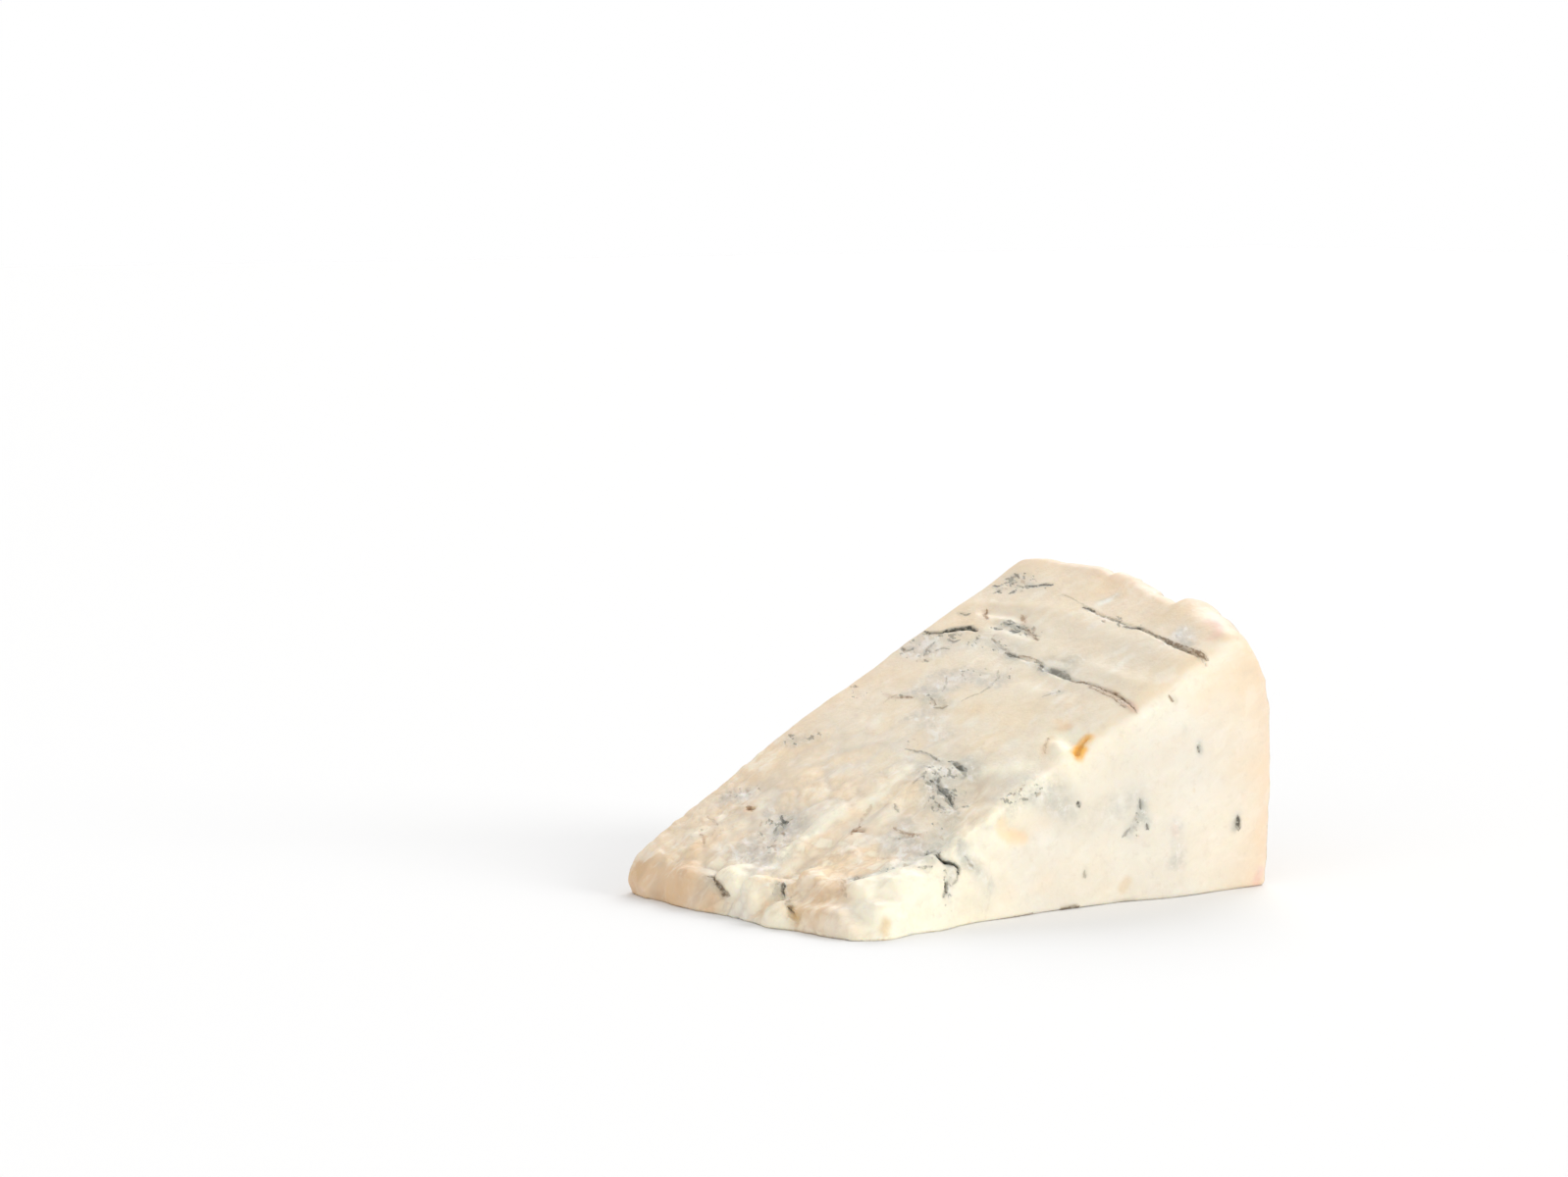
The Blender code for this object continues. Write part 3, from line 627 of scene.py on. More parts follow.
# Veins, cracks' dark floors and single blots: tone (0 green-black, 1 brown), strength, half widths, points.
VEINS = (
    # upper crack
    (0.3, 0.25, (0.3, 0.3), ((116.7, 61.0, 67.3), (114.9, 51.3, 65.4))),
    (0.15, 0.9, (0.45, 0.6, 0.4), ((113.8, 50.2, 64.9), (114.1, 48.6, 64.4), (113.6, 45.9, 64.0))),
    (0.15, 0.4, (0.3, 0.5, 0.3), ((113.6, 45.7, 63.9), (112.9, 40.5, 63.2), (111.9, 32.7, 62.2))),
    (0.1, 0.95, (0.4, 0.6, 0.5), ((111.3, 32.0, 62.0), (111.1, 29.0, 61.7), (111.5, 26.3, 61.5))),
    (0.3, 0.7, (0.4, 0.35, 0.4), ((111.5, 26.3, 61.5), (110.9, 22.1, 61.1), (110.2, 18.2, 60.4))),
    (0.5, 0.85, (0.4, 0.6, 0.8), ((110.2, 18.2, 60.4), (109.5, 13.0, 59.5), (108.9, 7.6, 58.5))),
    (0.6, 0.95, (0.7, 0.9, 0.85, 0.4), ((108.9, 7.6, 58.5), (108.9, 4.5, 58.0), (109.7, 2.6, 57.2), (110.2, 1.9, 56.4))),
    # lower crack
    (0.15, 0.45, (0.4, 0.6, 0.4), ((96.2, 64.7, 56.9), (94.5, 59.0, 55.6), (93.1, 53.8, 54.4))),
    (0.1, 0.85, (0.5, 0.9, 0.4), ((92.9, 55.7, 54.6), (92.7, 52.9, 54.0), (92.9, 50.6, 53.7))),
    (0.7, 0.65, (0.3, 0.4, 0.3), ((93.5, 50.2, 54.3), (94.0, 47.8, 54.3), (93.9, 44.8, 54.0))),
    (0.1, 0.55, (0.4, 0.6), ((93.9, 44.8, 54.0), (92.2, 40.8, 52.2))),
    (0.1, 0.55, (0.5, 0.9, 0.9, 0.5), ((90.8, 40.9, 51.9), (91.9, 37.2, 51.8), (91.4, 32.3, 51.6), (90.1, 28.0, 50.3))),
    (0.55, 0.85, (0.4, 0.45, 0.4, 0.4, 0.35, 0.2), ((90.1, 28.0, 50.3), (90.2, 24.4, 50.3), (90.3, 19.5, 49.8), (89.5, 13.1, 48.8), (88.3, 6.7, 47.4), (87.9, 2.8, 45.7))),
    (0.6, 0.55, (0.2, 0.3, 0.3, 0.2), ((89.2, 20.7, 49.6), (88.6, 16.2, 48.9), (87.6, 10.7, 47.7), (86.5, 5.1, 46.4))),
    # slit
    (0.0, 1.0, (0.3, 0.8, 0.95, 0.75, 0.3), ((93.5, 81.4, 57.0), (95.4, 79.9, 57.8), (96.9, 77.4, 58.2), (98.4, 75.1, 58.2), (98.1, 72.1, 57.5))),
    (0.1, 0.8, (0.3, 0.5, 0.3), ((92.7, 86.2, 57.4), (92.7, 83.8, 57.0), (93.1, 81.9, 57.1))),
    # top cluster
    (0.0, 0.95, (0.3, 0.65, 0.65, 0.3), ((116.7, 73.9, 68.5), (116.9, 71.6, 68.5), (118.2, 69.7, 69.0), (118.9, 67.2, 69.1))),
    (0.0, 0.8, (0.3, 0.5, 0.3), ((114.6, 84.8, 67.8), (114.4, 83.4, 67.6), (115.0, 82.6, 67.9))),
    (0.0, 0.8, (0.3, 0.5, 0.3), ((111.5, 81.2, 66.2), (112.6, 80.9, 66.7), (112.1, 78.9, 66.4))),
    (0.1, 0.6, (0.3, 0.5, 0.3), ((115.9, 82.5, 68.4), (116.5, 81.2, 68.7), (116.1, 79.3, 68.4))),
    (0.0, 0.8, (0.3, 0.6, 0.3), ((112.6, 76.4, 66.5), (113.2, 76.0, 66.8), (114.2, 76.0, 67.3))),
    (0.1, 0.7, (0.2, 0.5, 0.2), ((119.7, 82.7, 70.7), (119.1, 81.3, 70.3), (118.2, 79.5, 69.7))),
    (0.2, 0.5, (0.3, 0.4, 0.3), ((115.9, 77.2, 68.3), (115.6, 74.9, 68.0), (116.6, 74.6, 68.5))),
    # brown V
    (0.9, 0.85, (0.3, 0.6, 0.4), ((105.8, 77.7, 62.4), (104.0, 76.4, 61.6), (102.4, 73.1, 61.0))),
    (1.0, 0.6, (0.4, 0.7, 0.3), ((107.6, 66.2, 62.2), (106.8, 64.6, 61.4), (104.9, 61.3, 61.0))),
    (0.6, 0.85, (0.3, 0.5, 0.6, 0.3), ((102.9, 59.4, 59.6), (101.9, 56.7, 58.6), (101.5, 54.9, 58.4), (99.6, 51.3, 57.5))),
    # cluster 2
    (0.0, 0.85, (0.3, 0.5, 0.3), ((100.7, 68.7, 59.3), (100.3, 66.8, 58.9), (100.7, 65.8, 59.0))),
    (0.0, 0.8, (0.3, 0.5, 0.3), ((103.0, 67.6, 60.5), (102.9, 65.7, 60.1), (103.5, 64.9, 60.4))),
    (0.0, 0.85, (0.3, 0.6, 0.3), ((101.2, 63.4, 58.9), (100.9, 61.2, 58.6), (101.9, 60.5, 58.9))),
    (0.0, 0.9, (0.3, 0.6, 0.3), ((103.0, 62.9, 60.0), (102.8, 60.7, 59.6), (103.2, 59.3, 59.9))),
    (0.1, 0.5, (0.3, 0.4, 0.3), ((101.9, 82.9, 61.7), (101.8, 80.9, 61.4), (102.7, 80.4, 61.9))),
    (0.1, 0.45, (0.3, 0.5, 0.3), ((85.1, 85.7, 53.7), (85.0, 83.3, 53.4), (85.7, 82.1, 53.7))),
    (0.1, 0.5, (0.3, 0.5, 0.3), ((89.9, 79.1, 55.4), (87.1, 78.2, 53.9), (84.6, 76.7, 52.5))),
    (0.0, 0.6, (0.3, 0.5, 0.3), ((92.1, 76.4, 56.2), (91.5, 73.8, 55.7), (92.7, 73.0, 56.2))),
    (0.2, 0.4, (0.3, 0.4, 0.3), ((87.6, 75.3, 53.9), (89.1, 74.4, 54.6), (89.4, 72.5, 54.5))),
    # mid slope
    (0.5, 0.6, (0.3, 0.5, 0.3), ((71.7, 59.1, 44.6), (71.0, 57.1, 43.9), (70.6, 55.2, 43.5))),
    (0.4, 0.5, (0.3, 0.5, 0.3), ((69.6, 54.8, 43.0), (70.0, 52.6, 43.0), (71.0, 52.0, 43.4))),
    (0.9, 0.6, (0.3, 0.6, 0.3), ((69.0, 67.8, 44.0), (69.9, 66.7, 44.4), (70.5, 64.7, 44.4))),
    (0.9, 0.35, (0.3, 0.6, 0.3), ((66.2, 70.1, 42.7), (68.2, 70.3, 43.8), (69.7, 69.4, 44.5))),
    (0.2, 0.3, (0.2, 0.4, 0.2), ((79.9, 62.8, 49.0), (77.2, 60.3, 47.4), (74.8, 58.3, 46.1))),
    (0.2, 0.33, (0.2, 0.4, 0.4, 0.2), ((87.0, 51.1, 51.2), (84.1, 48.2, 49.5), (80.6, 47.4, 47.6), (78.0, 48.1, 46.4))),
    (0.2, 0.28, (0.2, 0.4, 0.2), ((77.4, 48.2, 46.1), (75.9, 49.2, 45.5), (73.8, 49.8, 44.6))),
    (0.2, 0.3, (0.2, 0.4, 0.2), ((82.4, 30.0, 46.8), (84.2, 29.3, 47.6), (85.5, 27.8, 48.0))),
    # mould patch
    (0.1, 0.45, (0.2, 0.4, 0.3), ((55.4, 48.8, 34.5), (55.7, 46.3, 34.3), (55.9, 43.6, 34.2))),
    (0.1, 0.5, (0.3, 0.5, 0.3), ((55.7, 43.0, 34.1), (55.9, 40.4, 33.9), (55.3, 36.4, 33.1))),
    (0.0, 0.85, (0.3, 0.6, 0.7, 0.3), ((56.3, 33.5, 33.2), (55.9, 31.0, 32.7), (55.5, 28.3, 32.1), (55.5, 26.2, 31.9))),
    (0.0, 0.9, (0.3, 0.6, 0.5, 0.6, 0.3), ((48.7, 31.4, 29.6), (48.2, 28.7, 28.5), (48.0, 26.3, 27.6), (47.1, 23.4, 26.6), (46.1, 20.2, 25.2))),
    (0.0, 0.7, (0.3, 0.5, 0.3), ((48.5, 26.1, 28.1), (48.2, 24.1, 27.4), (48.4, 22.1, 27.0))),
    (0.1, 0.35, (0.3, 0.5, 0.3), ((45.0, 33.5, 28.5), (47.2, 34.0, 29.7), (49.5, 34.6, 30.9))),
    (0.1, 0.45, (0.3, 0.5, 0.3), ((43.7, 24.4, 25.7), (43.3, 22.1, 24.9), (43.3, 20.3, 24.1))),
    (0.1, 0.55, (0.3, 0.5, 0.3), ((38.1, 32.5, 24.4), (37.4, 31.3, 23.6), (37.5, 30.3, 22.8))),
    (0.1, 0.35, (0.2, 0.4, 0.2), ((52.8, 38.4, 32.0), (51.6, 34.1, 31.4), (50.9, 30.8, 30.5))),
    # hollows
    (0.95, 0.9, (0.4, 0.9, 0.5), ((26.9, 34.8, 18.1), (29.0, 35.8, 18.8), (30.0, 35.0, 19.5))),
    (1.0, 0.35, (0.4, 0.8, 0.4), ((30.7, 36.1, 19.8), (34.2, 38.3, 21.4), (37.4, 39.6, 23.6))),
    (0.95, 0.6, (0.3, 0.6, 0.5, 0.3), ((33.5, 26.9, 20.1), (33.1, 24.3, 19.8), (33.1, 21.8, 19.6), (33.5, 19.4, 19.6))),
    # hook
    (0.0, 1.0, (0.2, 0.4, 0.55, 0.5, 0.55, 0.45, 0.2), ((31.8, 11.0, 16.4), (30.3, 7.8, 16.0), (31.5, 7.2, 14.6), (33.1, 6.9, 14.1), (34.2, 6.3, 13.7), (34.7, 5.7, 13.2), (33.6, 4.3, 11.9))),
    (0.1, 0.65, (0.2, 0.5, 0.5, 0.2), ((30.2, 4.3, 10.7), (29.8, 4.1, 9.5), (28.9, 3.8, 8.1), (27.8, 2.2, 7.4))),
    (0.1, 0.4, (0.2, 0.4, 0.2), ((33.4, 4.2, 11.8), (32.5, 3.9, 10.6), (31.3, 3.8, 9.7))),
    (0.1, 0.6, (0.3, 0.6, 0.3), ((24.5, 7.0, 14.3), (25.6, 6.5, 14.0), (27.5, 6.6, 14.2))),
    (0.1, 0.5, (0.3, 0.7, 0.3), ((15.8, 20.9, 10.5), (17.0, 20.1, 10.8), (13.6, 13.5, 11.8))),
    # front foot: dark marks along the bottom edge, painted shade where it meets the floor
    (0.5, 0.85, (0.3, 0.45, 0.3), ((66.3, 5.0, 0.3), (68.8, 5.0, 0.3), (71.5, 4.9, 0.2))),
    (0.8, 0.45, (0.2, 0.3, 0.2), ((47.0, 4.6, 0.1), (52.1, 4.6, 0.1), (57.3, 5.1, 0.1))),
    # spots of the front cut
    (0.1, 0.80, (0.45, 0.5), ((70.8, 4.4, 25.2), (71.0, 4.3, 24.3))),
    (0.1, 0.75, (0.4, 0.45), ((106.5, 1.2, 35.9), (106.7, 1.0, 34.9))),
    (0.1, 0.95, (0.5, 0.85, 0.6), ((119.4, 1.0, 17.4), (119.8, 0.8, 16.2), (120.1, 0.7, 14.8))),
    (0.1, 0.60, (0.3, 0.55, 0.3), ((88.7, 2.5, 24.6), (89.1, 2.5, 23.4), (89.3, 2.5, 22.5))),
    (0.1, 0.72, (0.45, 0.5), ((90.9, 2.5, 18.3), (91.3, 2.4, 17.5))),
    (0.2, 0.42, (0.3, 0.5, 0.3), ((84.5, 3.6, 15.8), (85.3, 3.5, 16.6), (86.4, 3.3, 17.8))),
    (0.7, 0.70, (0.3, 0.4, 0.3), ((97.2, 1.5, 49.1), (97.6, 1.3, 48.4), (98.3, 1.1, 47.7))),
    (0.2, 0.40, (0.3, 0.5, 0.3), ((73.1, 4.3, 8.9), (73.3, 4.3, 7.6))),
    (0.2, 0.40, (0.3, 0.5, 0.3), ((37.6, 6.2, 15.6), (38.4, 4.5, 13.2))),
    (1.0, 0.45, (0.3, 0.5, 0.3), ((71.3, 15.4, 39.3), (68.4, 13.5, 37.8), (66.6, 11.2, 36.5))),
    # nose
    (0.0, 0.9, (0.3, 0.6, 0.5, 0.3), ((27.5, 61.5, 19.5), (26.3, 60.0, 18.7), (25.5, 58.4, 18.1), (26.3, 57.6, 18.2))),
    (0.1, 0.5, (0.3, 0.5, 0.3), ((25.0, 59.1, 18.0), (23.4, 58.6, 17.0), (22.2, 57.7, 16.0))),
    (0.15, 0.8, (0.3, 0.5, 0.3), ((7.8, 35.9, 8.6), (7.5, 35.3, 7.7), (6.4, 34.5, 6.3))),
    (0.5, 0.9, (0.3, 0.5, 0.5, 0.8, 0.9, 0.4), ((3.7, 59.4, 7.6), (3.9, 57.4, 7.5), (2.4, 54.4, 6.6), (1.3, 51.5, 6.1), (1.1, 49.9, 5.1), (1.2, 48.2, 4.7))),
    (0.95, 0.9, (0.4, 0.8, 0.4), ((26.0, 73.0, 20.5), (25.7, 71.8, 19.9), (25.3, 70.5, 19.4))),
    (0.9, 0.5, (0.3, 0.6, 0.3), ((13.8, 76.0, 14.4), (12.6, 73.7, 13.9), (11.5, 71.6, 13.0))),
    (0.8, 0.35, (0.3, 0.5, 0.3), ((19.6, 80.2, 18.0), (19.0, 77.5, 17.4), (18.0, 74.6, 16.5))),
    (0.6, 0.65, (0.4, 0.7, 0.4), ((4.4, 30.5, 5.5), (2.0, 26.7, 5.1), (2.0, 25.3, 4.2))),
    (0.9, 0.35, (0.6, 1.2, 0.6), ((13.5, 22.0, 10.5), (11.8, 18.6, 9.3), (8.3, 13.8, 8.0))),
)
# Where dark specks are scattered: density, radius, points.
SPECKLED = (
    (0.95, 3.6, on_slope((117.4, 81.0), (117.4, 75.0))), (0.75, 2.0, on_slope((118.5, 73.0), (119.4, 67.6))),
    (0.95, 2.2, on_slope((101.2, 68.0), (101.4, 60.0), (100.6, 54.6))), (0.55, 3.4, on_slope((95.0, 68.0), (94.0, 58.0))),
    (0.80, 3.2, on_slope((90.4, 85.0), (93.6, 77.0))), (0.80, 3.0, on_slope((86.4, 86.0), (84.6, 76.0))),
    (0.62, 3.4, on_slope((84.0, 58.0), (86.0, 48.0))), (0.75, 2.0, on_slope((72.4, 60.0), (71.0, 53.0))),
    (0.75, 1.8, on_slope((69.4, 73.0), (70.6, 66.0))), (0.70, 2.4, on_slope((68.4, 85.0), (66.6, 80.0))),
    (0.62, 1.6, on_slope((83.4, 31.2), (85.0, 27.6))), (0.95, 5.4, on_slope((51.0, 31.6), (45.6, 20.6))),
    (0.70, 1.4, on_slope((57.4, 50.0), (55.2, 36.0))), (0.62, 3.6, on_slope((36.0, 16.0), (30.0, 9.0))),
    (0.62, 5.0, on_slope((25.0, 62.0), (18.0, 52.0))), (0.75, 2.4, on_slope((28.0, 83.0), (31.0, 77.0))),
    (0.70, 2.4, on_slope((46.4, 84.0), (49.0, 76.0))), (0.70, 1.8, on_slope((15.6, 21.0), (24.0, 10.6))),
    (0.62, 2.2, [(6.0, 36.0, 8.0), (4.0, 32.0, 4.6)]), (0.5, 2.4, [(88.8, 1.8, 22.0), (88.2, 1.8, 17.2)]),
    (0.72, 2.0, [(51.4, 7.0, 27.0), (60.0, 5.4, 29.0)]), (0.50, 3.0, [(30.6, 4.0, 11.0), (29.6, 3.4, 6.0)]),
    (0.66, 2.0, on_slope((113.4, 49.0), (112.2, 30.0))), (0.5, 2.0, on_slope((14.0, 76.0), (18.0, 70.0))),
)


def paint(p, n):
    """Colour, and the strengths of the specks, drag marks, rind, haze and veins, of each vertex by its place and normal."""
    x, y, z = p.T
    slope, rind, front, flat, nose = walls(x, y, z)
    uneven = np.stack([Field(2.2, s)(p) for s in (31, 32, 33)], -1)
    broad = Field(16.0, 41)(p)
    patch = Field(6.0, 42)(p)
    streak = Field((9.0, 1.6, 1.6), 43)(p)
    fitful = Field(2.6, 45)(p)
    q = p + 0.75 * uneven + 1.1 * np.stack([Field(5.0, s)(p) for s in (34, 35, 36)], -1)
    up = ease((n[:, 2] - 0.35) / 0.35)
    down = ease((-n[:, 2] - 0.5) / 0.4)
    # The slope's paste is greyer than the front's. Torn places show the fresh paste.
    colour = CREAM + (BEIGE - CREAM) * (up * (0.92 + 0.25 * patch))[:, None].clip(0, 1.1)

    def lay(shade, weight):
        nonlocal colour
        colour = colour + (shade - colour) * np.clip(weight, 0, 1)[:, None]

    # Marbling of pale and dull paste.
    lay(LILAC, up * ease((broad + 0.4 * patch + 0.1) * 1.2) * 0.22)
    lay(PEACH, ease((patch - 0.25) * 1.4) * 0.20)
    lay(WHITE, ease((streak - 0.3) * 1.6) * 0.35 * (0.4 + 0.6 * up))
    lay(PEACH, up * ease((70.0 - x) / 60.0) * (0.30 + 0.2 * patch))
    first, second, number = curd_cells(p)
    torn = np.maximum(ease((74.0 - x) / 26.0) * up, ease((40.0 - x) / 16.0))
    lay(CREAM, torn * ease((number - 0.45) * 6) * 0.65 * (1 - first))
    lay(PEACH, torn * ease((0.35 - number) * 6) * 0.22)
    middle, edge, crumbs, which = small_crumbs(p)
    lay(FRESH_AND_HIGHLIGHT, crumbs * ease((which - 0.62) * 8) * ease(edge * 4) * 0.60)
    lay(TAN, crumbs * ease((0.26 - which) * 8) * ease(edge * 4) * 0.30)
    # Brown and grey laid in the gaps between lumps and curds, where the surface sinks: painted shade.
    lay(BROWN, crumbs * np.exp(-((edge / 0.10) ** 2)) * 0.22)
    lay(BROWN, torn * np.exp(-((second - first) / 0.10) ** 2) * 0.26 * ease(patch + 0.5))
    lay(LILAC, torn * np.exp(-((second - first) / 0.22) ** 2) * 0.34 * ease(0.6 - patch))
    # The lumps of the front's lower corner, and front-facing paste towards the nose, are made paler: a painted
    # highlight, lighter the more a face turns to the front.
    corner = ease((44.0 - x) / 10.0) * ease((17.0 - y) / 5.0) * ease((x - 6.0) / 6.0)
    lay(FRESH_AND_HIGHLIGHT, corner * (0.75 + 0.3 * patch))
    lay(FRESH_AND_HIGHLIGHT, ease((60.0 - x) / 18.0) * ease(-n[:, 1] * 2 - 0.6) * 0.55)
    lay(LILAC, (1 - up) * ease(broad * 1.5 - 0.1) * 0.20)
    lay(PEACH, (1 - up) * ease(0.5 * patch - broad) * 0.12)
    # Next to the rind the paste is yellower and firmer.
    depth = -np.maximum(rind, flat)
    lay(UNDER, np.exp(-(np.clip(depth, 0, None) / 15.0) ** 2) * (0.80 + 0.3 * patch))
    lay(CRUST, np.exp(-(np.clip(-rind, 0, None) / 4.5) ** 2) * (up * (0.42 + 0.35 * patch) + 0.55))
    # A paler band along the top of the front face, under its edge with the slope: a painted highlight.
    lay(FRESH_AND_HIGHLIGHT, (1 - up) * np.exp(-(np.clip(-slope, 0, None) / 7.0) ** 2) * ease(-n[:, 1] * 3 - 0.3) * 0.40)
    # The nose was cut earlier, and has dried to tan.
    dried = ease((7.0 - x) / 5.0) * ease((y - 52.0) / 10.0)
    dried = np.maximum(dried, ease((3.2 - x) / 3.0) * ease((y - 44.0) / 10.0) * 0.6)
    lay(TAN, dried * (0.95 + 0.35 * Field((12.0, 2.6, 14.0), 44)(p)))
    lay(BROWN, dried * ease(Field((14.0, 2.2, 16.0), 46)(p) * 2 + 0.2) * 0.22)
    haze = np.zeros(len(p))
    for shade, strength, radius, points in MARKS:
        low, high = np.min(points, 0) - 2.6 * radius - 2, np.max(points, 0) + 2.6 * radius + 2
        near = ((p > low) & (p < high)).all(1)
        if not near.any():
            continue
        blur = 1.0 if radius > 1.4 else 0.42
        if radius <= 1.1:
            strength = 0.5 * strength       # the tables of veins carry the rest
        at = p[near] + blur * (q - p)[near]
        r, _ = line_distance(at, points, None, n[near], 0.9)
        r = np.minimum(r, line_distance(at, points, None, facing(points), 0.85)[0])
        edge = np.exp(-((r / radius) ** (2 if radius > 1.4 else 3)))
        weight = np.zeros(len(p))
        vary = np.clip(0.80 + 0.9 * fitful[near], 0.25, 1.15) if radius <= 1.0 else np.clip(0.85 + 0.5 * patch[near], 0.3, 1.2)
        weight[near] = strength * edge * (1.0 if shade is AMBER or shade is FRESH_AND_HIGHLIGHT or (shade is GOLD and radius > 1.1) else vary)
        if shade is MOULD or shade is LILAC:
            haze = np.maximum(haze, weight)
            weight = 0.80 * weight
        lay(shade, weight)
    specks = np.zeros(len(p))
    vein = np.full(len(p), 3.0)
    width, dark, tone = np.zeros(len(p)), np.zeros(len(p)), np.full(len(p), 0.3)
    bent = p + 0.35 * uneven
    for kind, strength, widths, points in VEINS:
        low, high = np.min(points, 0) - 5.0, np.max(points, 0) + 5.0
        near = np.flatnonzero(((p > low) & (p < high)).all(1) & (n @ facing(points) > -0.2))
        if not len(near):
            continue
        away, half, past = beside(bent[near], points, widths, facing(points))
        half = half * np.clip(1.0 - past / 0.7, 0, 1) * np.clip(1.0 - (np.abs(away) - 1.3 * half - 0.3) / 0.6, 0, 1)
        take = (np.abs(away) - 1.6 * half < np.abs(vein[near]) - 1.6 * width[near]) & ((half > 0) | (np.abs(away) < np.abs(vein[near])))
        at = near[take]
        vein[at], width[at], dark[at], tone[at] = away[take].clip(-3, 3), half[take], strength, kind
    for density, radius, points in SPECKLED:
        r, _ = line_distance(q, points, None, n, 0.6)
        specks = np.maximum(specks, density * np.exp(-((r / radius) ** 4)))
    # The cut faces that lie away from the front: veins follow the needles' paths, along Y.
    needles = np.abs(Field((7.0, 40.0, 7.0), 51)(q))
    marbled = np.exp(-((needles / 0.10) ** 2)) * ease((Field(11.0, 52)(p) + 0.15) * 2.0)
    lay(MOULD, down * (0.30 * ease(Field(9.0, 53)(p) + 0.2) + 0.7 * marbled))
    lay(SHADED, down * marbled * ease((Field(2.4, 54)(p)) * 2.5) * 0.7)
    specks = np.maximum(specks, down * np.maximum(0.85 * marbled, 0.5 * ease((Field(8.0, 55)(p) - 0.1) * 2)))
    # The rind, on the curved side and the flat back.
    on_curve = np.exp(-((np.clip(-rind, 0, None) / 1.3) ** 2)) * ease((n[:, 0] - 0.25) / 0.35)
    on_flat = np.exp(-((np.clip(-flat, 0, None) / 1.3) ** 2)) * ease((n[:, 1] - 0.25) / 0.35)
    skin = np.maximum(on_curve, on_flat)
    lay(RIND, skin)
    lay(RIND_BLOOM, skin * ease((Field(7.0, 61)(p) + 0.35 * Field(2.4, 65)(p) + 0.10) * 1.6) * 0.70)
    lay(RIND_DARK, skin * ease((Field(4.0, 62)(p) + 0.3 * Field(1.6, 63)(p) - 0.12) * 2.2) * 0.42)
    specks = np.maximum(specks, skin * 0.45 * ease((Field(6.0, 64)(p)) * 2))
    drag = up * (0.42 + 0.58 * ease((78.0 - x) / 44.0)) * (0.75 + 0.25 * patch) + (1 - up) * 0.30
    return colour, {"specks": specks, "drag": drag, "rind": skin, "haze": haze, "vein": vein, "vein_width": width,
                    "vein_dark": dark, "vein_tone": tone}


